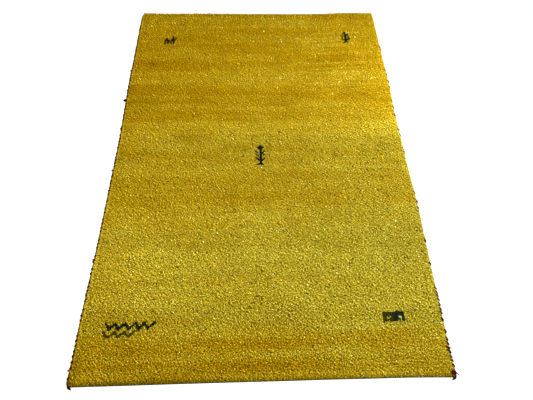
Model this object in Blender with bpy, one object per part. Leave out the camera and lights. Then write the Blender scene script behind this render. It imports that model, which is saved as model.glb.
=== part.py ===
"""A hand-knotted gabbeh rug, 1.2 m wide and 1.8 m long, lying flat on the floor.

The pile field is one slab: the woven ground, the pile that leans out over its edges, and the
flat-woven ends turned under. Along each side runs a cord overcast in dark wool, bunched at
every wrap, with the loose ends of its yarn sticking out and a fat knotted end at the near
corner. X runs across the rug, Y along it away from the near end, and Z up from the floor.
"""

import math
from collections import namedtuple

import bmesh
import bpy
import numpy as np

# Driving dimensions, in metres
WIDTH = 1.2
LENGTH = 1.8
THICKNESS = 0.015
CLEARANCE = 0.0003
GRID_STEP = 0.042
CORNER_STEPS = 4

# Soft unevenness of the pile's top
LUMP_HEIGHT = 0.0005
LUMP_LENGTH = 0.31

# The overcast cord along each side
CORD_INSET = 0.0036
CORD_FAT = 0.0033
CORD_THIN = 0.0024
WRAP_PITCH = 0.0127
CORD_SIDES = 6
EAR_LENGTH = 0.007
EAR_SWELL = 0.026
EAR_HALF_WIDTH = 0.0048
EAR_HALF_HEIGHT = 0.0043

# A loose end of the overcasting yarn
YARN_HALF = 0.0013
YARN_TIP_HALF = 0.0006
YARN_STEPS = 3

# How far each side stands outside its straight line, read along the rug
SideReach = namedtuple("SideReach", "along left right")
SIDE_REACH = (
    SideReach(-0.90, 0.0070, -0.0010),
    SideReach(-0.80, 0.0042, -0.0025),
    SideReach(-0.70, 0.0038, -0.0012),
    SideReach(-0.57, 0.0008, -0.0006),
    SideReach(-0.43, -0.0022, 0.0012),
    SideReach(-0.27, -0.0034, 0.0036),
    SideReach(-0.10, -0.0050, 0.0000),
    SideReach(0.06, -0.0055, -0.0006),
    SideReach(0.21, -0.0028, -0.0024),
    SideReach(0.37, 0.0014, 0.0028),
    SideReach(0.55, 0.0016, 0.0008),
    SideReach(0.72, 0.0024, 0.0000),
    SideReach(0.90, 0.0032, -0.0008),
)

# How far each end stands outside its straight line, read across the rug
EndReach = namedtuple("EndReach", "across near far")
END_REACH = (
    EndReach(-0.60, 0.0062, 0.0050),
    EndReach(-0.45, 0.0046, 0.0010),
    EndReach(-0.30, 0.0027, 0.0016),
    EndReach(-0.14, 0.0010, -0.0010),
    EndReach(0.04, -0.0004, -0.0024),
    EndReach(0.20, -0.0021, -0.0036),
    EndReach(0.34, -0.0028, -0.0016),
    EndReach(0.45, -0.0036, 0.0044),
    EndReach(0.60, -0.0016, 0.0032),
)

# The four corners in order round the rug, with how far each rounding reaches along X and Y
Corner = namedtuple("Corner", "side end round_x round_y")
CORNERS = (
    Corner(1, -1, 0.010, 0.010),
    Corner(1, 1, 0.017, 0.030),
    Corner(-1, 1, 0.013, 0.030),
    Corner(-1, -1, 0.010, 0.010),
)

# The edge of the slab from the floor up: how far each point lies inside the outline at the
# long sides, where the pile leans over the cord, and at the ends, over the turned web
EdgePoint = namedtuple("EdgePoint", "side_inset side_height end_inset end_height")
EDGE_PROFILE = (
    EdgePoint(0.0075, 0.0000, 0.0032, 0.0000),
    EdgePoint(0.0075, 0.0036, 0.0018, 0.0014),
    EdgePoint(0.0064, 0.0064, 0.0026, 0.0034),
    EdgePoint(0.0036, 0.0073, 0.0034, 0.0046),
    EdgePoint(0.0007, 0.0075, 0.0010, 0.0072),
    EdgePoint(0.0000, 0.0096, 0.0000, 0.0096),
    EdgePoint(0.0010, 0.0122, 0.0010, 0.0122),
    EdgePoint(0.0034, 0.0142, 0.0034, 0.0142),
    EdgePoint(0.0072, THICKNESS, 0.0072, THICKNESS),
)
END_BLEND = 0.008

# The yarn ends of each side's overcasting: where they leave the cord, and how far the tip
# lies outwards and along the rug from there
YarnEnd = namedtuple("YarnEnd", "side along out drift")
YARN_ENDS = (
    YarnEnd(-1, 0.297, 0.0090, -0.002),
    YarnEnd(-1, -0.091, 0.0085, -0.004),
    YarnEnd(-1, -0.478, 0.0095, 0.002),
    YarnEnd(-1, -0.856, 0.0075, -0.002),
    YarnEnd(1, 0.640, 0.0050, -0.008),
    YarnEnd(1, 0.410, 0.0055, -0.006),
    YarnEnd(1, 0.118, 0.0055, -0.010),
    YarnEnd(1, 0.004, 0.0090, -0.017),
    YarnEnd(1, -0.245, 0.0050, -0.010),
    YarnEnd(1, -0.396, 0.0050, -0.009),
    YarnEnd(1, -0.797, 0.0085, -0.020),
    YarnEnd(1, -0.876, 0.0105, -0.019),
)

PILE_COLOUR = (0.47, 0.29, 0.01, 1.0)
CORD_COLOUR = (0.045, 0.006, 0.006, 1.0)
WOOL_ROUGHNESS = 0.9


def clear_scene():
    """Removes every object that the scene starts with."""
    for obj in list(bpy.data.objects):
        bpy.data.objects.remove(obj, do_unlink=True)


def wool_material(name, colour):
    """Matt wool of one colour."""
    material = bpy.data.materials.new(name)
    material.use_nodes = True
    shader = material.node_tree.nodes["Principled BSDF"]
    shader.inputs["Base Color"].default_value = colour
    shader.inputs["Roughness"].default_value = WOOL_ROUGHNESS
    shader.inputs["Metallic"].default_value = 0.0
    return material


def read_table(table, column, at):
    """A table's column at any place, on a smooth curve through its rows: cubic Hermite pieces."""
    places = np.array([row[0] for row in table])
    values = np.array([getattr(row, column) for row in table])
    slopes = np.gradient(values, places)
    at = np.clip(np.asarray(at, float), places[0], places[-1])
    low = np.clip(np.searchsorted(places, at) - 1, 0, len(places) - 2)
    span = places[low + 1] - places[low]
    t = (at - places[low]) / span
    start = (1 + 2 * t) * (1 - t) ** 2
    end = t * t * (3 - 2 * t)
    leave = t * (1 - t) ** 2 * span
    arrive = t * t * (t - 1) * span
    return start * values[low] + end * values[low + 1] + leave * slopes[low] + arrive * slopes[low + 1]


def make_uneven(points):
    """Moves points of a true rectangle to the uneven rug, more the nearer they lie to an edge."""
    x, y = points[..., 0], points[..., 1]
    across = x / (WIDTH / 2)
    along = y / (LENGTH / 2)
    side = np.where(across > 0, read_table(SIDE_REACH, "right", y), read_table(SIDE_REACH, "left", y))
    end = np.where(along > 0, read_table(END_REACH, "far", x), read_table(END_REACH, "near", x))
    moved = points.copy()
    moved[..., 0] += across * side
    moved[..., 1] += along * end
    return moved


def corner_arc(corner, steps):
    """Places and outward directions on a corner's quarter ellipse, from the side to the end."""
    turn = np.linspace(0.0, math.pi / 2, steps + 1)
    centre_x = WIDTH / 2 - corner.round_x
    centre_y = LENGTH / 2 - corner.round_y
    places = np.stack(
        [
            corner.side * (centre_x + corner.round_x * np.cos(turn)),
            corner.end * (centre_y + corner.round_y * np.sin(turn)),
        ],
        axis=1,
    )
    outward = np.stack(
        [corner.side * np.cos(turn) / corner.round_x, corner.end * np.sin(turn) / corner.round_y],
        axis=1,
    )
    return places, outward / np.linalg.norm(outward, axis=1, keepdims=True)


def outline_side(start, finish, steps):
    """One edge of the outline between two corners, from the middle of one rounding to the
    middle of the next: its places, outward directions, and share of the end's profile, which
    goes over into the side's within a short blend beside each rounding."""
    runs_along = start.side == finish.side
    half = CORNER_STEPS // 2
    first, first_out = corner_arc(start, CORNER_STEPS)
    last, last_out = corner_arc(finish, CORNER_STEPS)
    if runs_along:
        first, first_out = first[half::-1], first_out[half::-1]
        last, last_out = last[: half + 1], last_out[: half + 1]
    else:
        first, first_out = first[half:], first_out[half:]
        last, last_out = last[: half - 1 : -1], last_out[: half - 1 : -1]
    blend = END_BLEND / np.linalg.norm(last[0] - first[-1])
    share = np.linspace(blend, 1 - blend, steps)[:, None]
    straight = first[-1] * (1 - share) + last[0] * share
    straight_out = np.repeat(first_out[-1:], len(straight), axis=0)
    places = np.concatenate([first, straight, last])
    outward = np.concatenate([first_out, straight_out, last_out])
    if runs_along:
        return places, outward, np.zeros(len(places))
    on_straight = [0.0] * len(first) + [1.0] * len(straight) + [0.0] * len(last)
    return places, outward, np.array(on_straight)


def edge_ring(side, point):
    """One ring of the slab's edge along one side of the outline, at one point of the profile."""
    places, outward, share = side
    inset = point.side_inset * (1 - share) + point.end_inset * share
    height = point.side_height * (1 - share) + point.end_height * share
    flat = make_uneven(places - outward * inset[:, None])
    return np.column_stack([flat, height])


def filled_grid(near, right, far, left):
    """The points inside four edges: straight lines across and along, added, less the corners."""
    u = (near[:, 0] - near[0, 0]) / (near[-1, 0] - near[0, 0])
    v = (left[:, 1] - left[0, 1]) / (left[-1, 1] - left[0, 1])
    u = u[:, None, None]
    v = v[None, :, None]
    across = (1 - u) * left[None] + u * right[None]
    along = (1 - v) * near[:, None] + v * far[:, None]
    corners = (1 - u) * ((1 - v) * near[0] + v * far[0]) + u * ((1 - v) * near[-1] + v * far[-1])
    return across + along - corners


def lump_height(x, y):
    """Soft lumps of the pile: three crossing waves, fading to nothing at the edges."""
    turn = 2 * math.pi / LUMP_LENGTH
    waves = np.sin(turn * (x + 0.4 * y)) + np.sin(turn * (1.3 * y - 0.5 * x) + 1.0)
    waves = waves + np.sin(turn * (2.1 * x + 1.7 * y) + 2.0)
    to_side = np.clip(1 - np.abs(x) / (WIDTH / 2), 0, None)
    to_end = np.clip(1 - np.abs(y) / (LENGTH / 2), 0, None)
    return LUMP_HEIGHT * waves * np.clip(8 * np.minimum(to_side, to_end), 0, 1)


def mesh_object(name, bm, material, collection):
    """Puts a finished bmesh into a new object of the rug's collection."""
    bmesh.ops.recalc_face_normals(bm, faces=bm.faces)
    mesh = bpy.data.meshes.new(name)
    bm.to_mesh(mesh)
    bm.free()
    mesh.materials.append(material)
    mesh.shade_smooth()
    mesh.set_sharp_from_angle(angle=math.radians(50))
    obj = bpy.data.objects.new(name, mesh)
    collection.objects.link(obj)
    return obj


def build_field(material, collection):
    """The slab: a flat underside, the edge's rings lofted upwards, and the uneven top."""
    across_steps = round(WIDTH / GRID_STEP)
    along_steps = round(LENGTH / GRID_STEP)
    near_right, far_right, far_left, near_left = CORNERS
    sides = (
        outline_side(near_left, near_right, across_steps),
        outline_side(near_right, far_right, along_steps),
        outline_side(far_right, far_left, across_steps),
        outline_side(far_left, near_left, along_steps),
    )
    rings = [[edge_ring(side, point) for side in sides] for point in EDGE_PROFILE]
    near, right, far, left = rings[-1]
    top = filled_grid(near, right, far[::-1], left[::-1])
    top[..., 2] = THICKNESS + lump_height(top[..., 0], top[..., 1])

    bm = bmesh.new()
    grid = [[bm.verts.new(place) for place in column] for column in top]
    rim = [column[0] for column in grid[:-1]] + grid[-1][:-1]
    rim += [column[-1] for column in grid[:0:-1]] + grid[0][:0:-1]
    loops = [
        [bm.verts.new(place) for part in ring for place in part[:-1]] for ring in rings[:-1]
    ] + [rim]
    count = len(rim)
    for lower, upper in zip(loops, loops[1:]):
        for i in range(count):
            j = (i + 1) % count
            bm.faces.new((lower[i], lower[j], upper[j], upper[i]))
    for left_column, right_column in zip(grid, grid[1:]):
        for i in range(len(left_column) - 1):
            bm.faces.new((left_column[i], right_column[i], right_column[i + 1], left_column[i + 1]))
    bm.faces.new(loops[0][::-1])
    return mesh_object("pile_field", bm, material, collection)


def cord_route(side):
    """Places along the middle of a side's cord, half a wrap apart, from the tip of its ear at
    the near corner to where it ends in the rounding of the far corner."""
    far_corner = next(c for c in CORNERS if c.side == side and c.end > 0)
    arc, outward = corner_arc(far_corner, 8 * CORNER_STEPS)
    end_turn = 0.62 if side < 0 else 0.3
    arc = (arc - outward * CORD_INSET)[: round(len(arc) * end_turn)]
    start = np.array([[side * (WIDTH / 2 - CORD_INSET), -LENGTH / 2 - EAR_LENGTH]])
    path = np.concatenate([start, arc])
    lengths = np.concatenate([[0.0], np.cumsum(np.linalg.norm(np.diff(path, axis=0), axis=1))])
    places = np.arange(0.0, lengths[-1], WRAP_PITCH / 2)
    return np.column_stack([np.interp(places, lengths, path[:, i]) for i in range(2)]), places


def cord_sections(side):
    """The cord's centres and half sizes, fat at each wrap and thin between, swelling to the ear."""
    route, places = cord_route(side)
    fat = np.arange(len(places)) % 2 == 1
    half_width = np.where(fat, CORD_FAT, CORD_THIN)
    half_height = half_width.copy()
    swell = np.clip(1 - places / EAR_SWELL, 0, 1)
    half_width = half_width + (EAR_HALF_WIDTH - CORD_FAT) * swell
    past_edge = places < EAR_LENGTH - CLEARANCE
    half_height[past_edge] = EAR_HALF_HEIGHT
    outwards = np.maximum(half_width - CORD_FAT, 0.0)
    route[:, 0] += side * outwards
    half_width[0] *= 0.6
    half_height[0] *= 0.6
    half_width[-1] *= 0.6
    half_height[-1] *= 0.6
    return make_uneven(route), half_width, half_height


def pull_yarn_end(bm, face, side, yarn_end):
    """Draws a face of the cord out into a tapering strand that droops to the floor."""
    start = face.calc_center_median()
    for step in range(1, YARN_STEPS + 1):
        share = step / YARN_STEPS
        half = YARN_HALF + (YARN_TIP_HALF - YARN_HALF) * share
        lift = half + (start.z - half) * (1 - share * share)
        centre = (
            start.x + side * yarn_end.out * share,
            start.y + yarn_end.drift * share * (0.6 + 0.4 * share),
            lift,
        )
        face = bmesh.ops.extrude_discrete_faces(bm, faces=[face])["faces"][0]
        middle = face.calc_center_median()
        for vert in face.verts:
            arm = (vert.co - middle).normalized() * half * math.sqrt(2)
            vert.co = (centre[0] + arm.x, centre[1] + arm.y, max(centre[2] + arm.z, CLEARANCE))


def build_cord(name, side, material, collection):
    """The overcast cord of one side: rings of six points along its route, closed at both
    ends, with the yarn ends drawn out of its outer faces."""
    centres, half_width, half_height = cord_sections(side)
    turn = 2 * math.pi * np.arange(CORD_SIDES) / CORD_SIDES
    flat_to_flat = math.sin(math.pi / 3)
    x = centres[:, :1] + side * half_width[:, None] * np.cos(turn)
    y = np.repeat(centres[:, 1:], CORD_SIDES, axis=1)
    z = half_height[:, None] * (1 + np.sin(turn) / flat_to_flat)
    bm = bmesh.new()
    rings = [[bm.verts.new(place) for place in ring] for ring in np.stack([x, y, z], axis=2)]
    outer = []
    for low, high in zip(rings, rings[1:]):
        for i in range(CORD_SIDES):
            j = (i + 1) % CORD_SIDES
            face = bm.faces.new((low[i], low[j], high[j], high[i]))
            if i == 0:
                outer.append(face)
    bm.faces.new(rings[0])
    bm.faces.new(rings[-1])
    bm.normal_update()
    for yarn_end in YARN_ENDS:
        if yarn_end.side == side:
            nearest = int(np.argmin(np.abs(centres[:-1, 1] + WRAP_PITCH / 4 - yarn_end.along)))
            pull_yarn_end(bm, outer[nearest], side, yarn_end)
    return mesh_object(name, bm, material, collection)


def main():
    """Builds the rug: its pile field, then the overcast cord of each side."""
    clear_scene()
    rug = bpy.data.collections.new("gabbeh_rug")
    bpy.context.scene.collection.children.link(rug)
    pile = wool_material("golden_wool_pile", PILE_COLOUR)
    overcasting = wool_material("dark_wool_overcasting", CORD_COLOUR)
    build_field(pile, rug)
    build_cord("selvedge_left", -1, overcasting, rug)
    build_cord("selvedge_right", 1, overcasting, rug)


main()
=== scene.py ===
"""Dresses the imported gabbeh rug: knotted pile, woven ground, turned ends and overcast sides.

Each knot of the pile is a small closed spindle of wool. Numpy places it on the rug's uneven
outline and colours it from a few dyes, as the weaver's lots of yarn and motif charts give it.
X runs across the rug, Y along it away from the near end, and Z up from the floor, in metres.
"""

import logging
import math
from dataclasses import dataclass
from enum import Enum
from typing import NamedTuple

import bpy
import numpy as np
from mathutils import Matrix


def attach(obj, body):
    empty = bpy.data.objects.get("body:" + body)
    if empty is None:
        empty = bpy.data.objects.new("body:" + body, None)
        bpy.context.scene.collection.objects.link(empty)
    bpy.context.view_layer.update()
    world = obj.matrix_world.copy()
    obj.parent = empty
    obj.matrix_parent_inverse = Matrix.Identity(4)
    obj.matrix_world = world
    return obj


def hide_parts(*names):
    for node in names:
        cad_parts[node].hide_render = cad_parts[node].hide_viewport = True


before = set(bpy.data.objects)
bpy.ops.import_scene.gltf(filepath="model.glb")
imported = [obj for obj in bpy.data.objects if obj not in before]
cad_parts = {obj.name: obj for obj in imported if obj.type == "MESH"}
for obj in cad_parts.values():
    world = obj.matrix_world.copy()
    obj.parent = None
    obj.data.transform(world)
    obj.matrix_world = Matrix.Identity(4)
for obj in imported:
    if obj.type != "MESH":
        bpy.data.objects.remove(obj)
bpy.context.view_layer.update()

BODY = "root"
PILE_SLOT = "golden_wool_pile"
CORD_SLOT = "dark_wool_overcasting"
WOOL = "wool"
BAKE_MAP = "OFBake"
CLEARANCE = 0.0001
PILE_LIE_DEGREES = -52.0

Colour = tuple[float, float, float]


class SideReach(NamedTuple):
    """How far each long side stands outside its straight line, at a place along the rug."""

    along: float
    left: float
    right: float


class EndReach(NamedTuple):
    """How far each end stands outside its straight line, at a place across the rug."""

    across: float
    near: float
    far: float


class Corner(NamedTuple):
    """A rounded corner: which side and end it joins, and its reach along X and Y."""

    side: int
    end: int
    round_x: float
    round_y: float


class RimRow(NamedTuple):
    """A row of knots near an edge: how far its roots and tips lie inside the outline, and
    its painted shade, as the share of its wool's colour that it keeps."""

    root_inset: float
    tip_inset: float
    tip_height: float
    shade: float


class Band(NamedTuple):
    """A band of the field from one lot of yarn: how straw-coloured and how light it is, how
    much its straw changes for each metre to the right, how much painted light and shade change
    its lightness for each metre to the right, and how unevenly the lot was dyed, in streaks
    and in dark specks that are partly painted shade."""

    start: float
    straw: float
    value: float
    straw_tilt: float
    painted_light_tilt: float
    streaks: float
    specks: float


class DarkPatch(NamedTuple):
    """A soft darker patch, for stains and for painted shade: its middle, its reach, and how much of the
    light it takes.
    """

    x: float
    y: float
    reach_x: float
    reach_y: float
    depth: float


class Stitch(NamedTuple):
    """A turn of overcasting yarn that shows over a side's pile: its place along the side, how
    far in its middle lies, and how dark and thick it is, from 0 to 1."""

    along: float
    inset: float
    strength: float


class YarnEnd(NamedTuple):
    """A loose end of overcasting yarn: its side and place, how far out its tip lies, and half
    its thickness."""

    side: int
    along: float
    out: float
    drift: float
    half: float


class Tuft(NamedTuple):
    """A knotted tuft on a side cord: its side and place, how far in, how high and how big."""

    side: int
    along: float
    inset: float
    height: float
    reach: float
    strands: int


class Light(NamedTuple):
    """A soft lamp: where it hangs, what it faces, its size and its power in watts."""

    name: str
    place: tuple[float, float, float]
    target: tuple[float, float, float]
    size: float
    power: float


SIDE_REACH = (
    SideReach(-0.90, 0.0070, -0.0010),
    SideReach(-0.80, 0.0042, -0.0025),
    SideReach(-0.70, 0.0038, -0.0012),
    SideReach(-0.57, 0.0008, -0.0006),
    SideReach(-0.43, -0.0022, 0.0012),
    SideReach(-0.27, -0.0034, 0.0036),
    SideReach(-0.10, -0.0050, 0.0000),
    SideReach(0.06, -0.0055, -0.0006),
    SideReach(0.21, -0.0028, -0.0024),
    SideReach(0.37, 0.0014, 0.0028),
    SideReach(0.55, 0.0016, 0.0008),
    SideReach(0.72, 0.0024, 0.0000),
    SideReach(0.90, 0.0032, -0.0008),
)

END_REACH = (
    EndReach(-0.60, 0.0062, 0.0050),
    EndReach(-0.45, 0.0046, 0.0010),
    EndReach(-0.30, 0.0027, 0.0016),
    EndReach(-0.14, 0.0010, -0.0010),
    EndReach(0.04, -0.0004, -0.0024),
    EndReach(0.20, -0.0021, -0.0036),
    EndReach(0.34, -0.0028, -0.0016),
    EndReach(0.45, -0.0036, 0.0044),
    EndReach(0.60, -0.0016, 0.0032),
)

CORNERS = (
    Corner(1, -1, 0.010, 0.010),
    Corner(1, 1, 0.017, 0.030),
    Corner(-1, 1, 0.013, 0.030),
    Corner(-1, -1, 0.010, 0.010),
)

# The last value of each row is painted shade: the pile's rounded edges go darker, most at the near end
# and down the left side.
LEFT_RIM = (
    RimRow(0.0094, 0.0068, 0.0092, 0.70),
    RimRow(0.0104, 0.0080, 0.0122, 0.86),
    RimRow(0.0130, 0.0102, 0.0146, 0.96),
    RimRow(0.0166, 0.0138, 0.0156, 1.0),
    RimRow(0.0204, 0.0184, 0.0158, 1.0),
)

RIGHT_RIM = (
    RimRow(0.0078, 0.0012, 0.0098, 0.85),
    RimRow(0.0086, 0.0028, 0.0132, 0.97),
    RimRow(0.0112, 0.0056, 0.0152, 1.0),
    RimRow(0.0155, 0.0110, 0.0158, 1.0),
    RimRow(0.0200, 0.0172, 0.0158, 1.0),
)

FAR_RIM = (
    RimRow(0.0050, 0.0002, 0.0106, 1.0),
    RimRow(0.0062, 0.0018, 0.0142, 1.0),
    RimRow(0.0096, 0.0052, 0.0158, 1.0),
    RimRow(0.0140, 0.0112, 0.0160, 1.0),
    RimRow(0.0185, 0.0170, 0.0158, 1.0),
)

NEAR_RIM = (
    RimRow(0.0066, 0.0034, 0.0082, 0.46),
    RimRow(0.0082, 0.0058, 0.0118, 0.60),
    RimRow(0.0110, 0.0092, 0.0142, 0.80),
    RimRow(0.0148, 0.0134, 0.0154, 0.94),
    RimRow(0.0185, 0.0176, 0.0158, 1.0),
)

BANDS = (
    Band(-0.91, 0.44, 0.98, 0.20, 0.00, 0.05, 0.006),
    Band(-0.874, 0.42, 0.93, 0.34, 0.13, 0.08, 0.006),
    Band(-0.80, 0.53, 0.99, 0.42, 0.18, 0.08, 0.006),
    Band(-0.7385, 0.80, 1.00, 0.42, 0.12, 0.04, 0.009),
    Band(-0.665, 0.83, 1.08, 0.23, 0.00, 0.03, 0.008),
    Band(-0.56, 0.91, 1.09, 0.26, -0.12, 0.03, 0.008),
    Band(-0.45, 0.84, 1.02, 0.26, -0.10, 0.03, 0.008),
    Band(-0.37, 0.72, 1.03, 0.28, -0.09, 0.04, 0.006),
    Band(-0.265, 0.49, 0.96, 0.22, -0.06, 0.06, 0.004),
    Band(-0.219, 0.60, 0.98, 0.28, -0.05, 0.04, 0.006),
    Band(-0.078, 0.63, 0.99, 0.28, -0.05, 0.04, 0.018),
    Band(0.078, 0.57, 1.04, 0.34, 0.06, 0.04, 0.008),
    Band(0.16, 0.37, 0.95, 0.32, 0.06, 0.05, 0.003),
    Band(0.257, 0.25, 0.885, 0.26, 0.02, 0.06, 0.002),
    Band(0.384, 0.43, 0.97, 0.16, -0.06, 0.05, 0.002),
    Band(0.467, 0.24, 0.868, 0.22, -0.05, 0.07, 0.002),
    Band(0.67, 0.28, 0.852, 0.04, -0.22, 0.07, 0.003),
    Band(0.80, 0.25, 0.820, 0.10, -0.18, 0.06, 0.003),
)

# The first seven patches are stains in the field. The last three are painted shade: the near end's
# rounded edge, darker on the left, and the left edge by the near corner, where the corner's knots go
# nearly black beside the cord's ear.
STAINS_AND_PAINTED_SHADE = (
    DarkPatch(-0.309, 0.066, 0.060, 0.030, 0.16),
    DarkPatch(-0.503, 0.508, 0.012, 0.016, 0.30),
    DarkPatch(-0.429, 0.381, 0.030, 0.016, 0.16),
    DarkPatch(-0.533, 0.269, 0.060, 0.060, 0.10),
    DarkPatch(-0.534, -0.032, 0.070, 0.035, 0.12),
    DarkPatch(0.500, 0.000, 0.080, 0.040, 0.14),
    DarkPatch(0.000, 0.000, 0.400, 0.070, 0.06),
    DarkPatch(-0.420, -0.893, 0.330, 0.014, 0.42),
    DarkPatch(-0.594, -0.870, 0.014, 0.050, 0.26),
    DarkPatch(-0.593, -0.892, 0.008, 0.028, 0.95),
)

RIGHT_STITCHES = (
    Stitch(0.629, 0.001, 1.0),
    Stitch(0.607, 0.002, 0.6),
    Stitch(0.465, 0.008, 0.4),
    Stitch(0.438, 0.003, 0.3),
    Stitch(0.392, 0.003, 1.0),
    Stitch(0.353, 0.001, 0.7),
    Stitch(0.268, 0.007, 0.4),
    Stitch(0.231, 0.003, 0.7),
    Stitch(0.185, 0.005, 0.7),
    Stitch(0.099, 0.006, 0.5),
    Stitch(0.071, 0.003, 0.6),
    Stitch(-0.020, 0.000, 0.5),
    Stitch(-0.220, 0.002, 0.5),
    Stitch(-0.261, 0.000, 0.5),
    Stitch(-0.289, 0.001, 0.5),
    Stitch(-0.427, 0.005, 1.0),
    Stitch(-0.520, 0.006, 1.0),
    Stitch(-0.612, 0.006, 0.7),
    Stitch(-0.627, 0.004, 0.6),
    Stitch(-0.638, 0.006, 1.0),
    Stitch(-0.652, 0.004, 0.7),
    Stitch(-0.667, 0.005, 0.7),
    Stitch(-0.684, 0.004, 0.6),
    Stitch(-0.696, 0.005, 0.8),
    Stitch(-0.718, 0.007, 1.0),
    Stitch(-0.757, 0.004, 0.8),
    Stitch(-0.783, 0.004, 0.6),
    Stitch(-0.797, 0.006, 1.0),
    Stitch(-0.812, 0.009, 1.0),
    Stitch(-0.823, 0.005, 1.0),
    Stitch(-0.838, 0.004, 0.4),
    Stitch(-0.850, 0.004, 0.7),
    Stitch(-0.865, 0.004, 1.0),
)

YARN_ENDS = (
    YarnEnd(-1, 0.289, 0.0090, -0.002, 0.0020),
    YarnEnd(-1, -0.091, 0.0085, -0.004, 0.0013),
    YarnEnd(-1, -0.478, 0.0095, 0.002, 0.0014),
    YarnEnd(-1, -0.851, 0.0080, -0.001, 0.0024),
    YarnEnd(1, 0.629, 0.0050, -0.008, 0.0013),
    YarnEnd(1, 0.392, 0.0050, -0.006, 0.0014),
    YarnEnd(1, 0.118, 0.0055, -0.010, 0.0012),
    YarnEnd(1, 0.004, 0.0090, -0.017, 0.0012),
    YarnEnd(1, -0.245, 0.0050, -0.010, 0.0013),
    YarnEnd(1, -0.409, 0.0060, -0.003, 0.0013),
    YarnEnd(1, -0.757, 0.0060, -0.006, 0.0013),
    YarnEnd(1, -0.808, 0.0125, -0.012, 0.0024),
    YarnEnd(1, -0.884, 0.0125, -0.011, 0.0034),
)

TUFTS = (
    Tuft(-1, 0.476, 0.0012, 0.0070, 0.0075, 34),
    Tuft(-1, 0.350, 0.0008, 0.0060, 0.0060, 24),
    Tuft(-1, 0.286, -0.0016, 0.0065, 0.0100, 56),
    Tuft(-1, 0.124, 0.0008, 0.0060, 0.0060, 24),
    Tuft(-1, -0.095, 0.0002, 0.0055, 0.0060, 28),
    Tuft(-1, -0.128, 0.0010, 0.0055, 0.0045, 20),
    Tuft(-1, -0.488, 0.0002, 0.0055, 0.0060, 28),
    Tuft(-1, -0.606, 0.0010, 0.0055, 0.0050, 20),
    Tuft(-1, -0.851, -0.0004, 0.0060, 0.0046, 24),
    Tuft(1, 0.392, 0.0030, 0.0120, 0.0050, 24),
    Tuft(1, -0.427, 0.0050, 0.0120, 0.0050, 24),
    Tuft(1, -0.8865, 0.0105, 0.0135, 0.0105, 80),
)

LIGHTS = (
    Light("side_softbox", (1.0, 0.4, 0.6), (0.3, 0.3, 0.0), 0.5, 9.4),
    Light("overhead_softbox", (-0.3, -0.9, 2.6), (0.0, 0.0, 0.0), 1.8, 60.0),
)


class Dye(Enum):
    """The dyes of the wool, as linear red, green and blue. Two of them are partly painted shade."""

    OCHRE = (0.673, 0.375, 0.0005)
    STRAW = (0.673, 0.558, 0.042)
    PALE = (0.74, 0.620, 0.110)
    NAVY = (0.0003, 0.009, 0.014)
    TEAL = (0.001, 0.022, 0.040)
    GREEN = (0.004, 0.011, 0.005)
    OLIVE = (0.052, 0.049, 0.007)
    SOOT = (0.012, 0.013, 0.002)
    BROWN = (0.045, 0.028, 0.003)
    # Dark specks: partly dark knots, partly painted shade of the gaps between tufts.
    SPECK_AND_GAP_SHADE = (0.110, 0.068, 0.008)
    MAROON = (0.052, 0.004, 0.006)
    RED = (0.085, 0.009, 0.006)
    FADED_MAROON = (0.110, 0.045, 0.025)
    # The turned end's dark olive: partly the end web's own colour, partly painted shade below the
    # pile's edge.
    WARP_AND_SHADE = (0.060, 0.044, 0.007)


DYE_LETTERS = {
    "n": Dye.NAVY,
    "t": Dye.TEAL,
    "g": Dye.GREEN,
    "o": Dye.OLIVE,
    "k": Dye.SOOT,
    "b": Dye.BROWN,
    "y": Dye.PALE,
}

MIDDLE_TREE = """
....n....
...nnn...
.nnnnnnn.
..nnnnn..
...nnn...
....nn...
g...nn..g
gg..nn.gg
.gg.nngg.
....nng..
gg..nn.bb
.gg.nn.b.
..b.nn...
....nn...
gg..nn..g
.gg.nn.gg
..ggnngg.
...gnng..
....nn...
....nn...
...nnnn..
.nnnnnnn.
"""

FAR_TREE = """
....nn....
...nnn....
...nnn....
..b.nn..k.
.bb.nn.kk.
...bnnkk..
b...nnk...
bb..nn..o.
.bb.nn.oo.
....nnoo..
....nn..kk
kb..nn.kkk
.kkbnnkkk.
...bnnkk..
....nn....
....nn....
...nnnn...
..nn..n...
"""

ANIMAL = """
..........b....
..........bb...
..........bb...
...oo.....bb.oo
...ook....kb.oo
...ook...kkbooo
..ookk...kkkoo.
..ookkkookkkk..
..ookkkoookkk..
..oo.kkooo.kk..
..oo.kk.oo.kk..
..oo.oo.oo.kk..
..bb.oo.oo.oo..
..b..o...k..o..
"""

SQUARES = """
..........ttn.t.
kooookootttttnnn
oooooooottnttttt
oooookoottttttnt
oooyoyoottnyyytt
oooyyooottntyytt
ooooooootttttynt
okok.kokktt.t.tt
"""


@dataclass(frozen=True)
class Motif:
    """A figure knotted into the field: its chart of letters, where its middle lies, and how
    wide its knots spread."""

    x: float
    y: float
    chart: str
    spread: float = 1.0

    def letters(self) -> np.ndarray:
        """The chart as rows and columns of single letters, with its near row first."""
        return np.array([list(row) for row in self.chart.split()])[::-1]


@dataclass(frozen=True)
class Zigzag:
    """A knotted zigzag: a line through its turning points, in knots from its far left."""

    x: float
    y: float
    letter: str
    turns: tuple[tuple[float, float], ...]
    thickness: float = 1.9
    spread: float = 1.15

    def letters(self) -> np.ndarray:
        """A knot is dyed where it lies within half a thickness of the line.

        Returns:
            Rows and columns of single letters, with the near row first.
        """
        turns = np.array(self.turns)
        wide, tall = np.ceil(turns.max(axis=0)).astype(int)
        knots = np.stack(np.meshgrid(np.arange(wide + 1), np.arange(tall + 2)), axis=-1)
        nearest = np.full(knots.shape[:2], np.inf)
        for start, end in zip(turns, turns[1:]):
            way = end - start
            share = np.clip((knots - start) @ way / (way @ way), 0, 1)[..., None]
            nearest = np.minimum(nearest, np.linalg.norm(knots - start - share * way, axis=-1))
        return np.where(nearest <= self.thickness / 2, self.letter, ".")[::-1]


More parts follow.
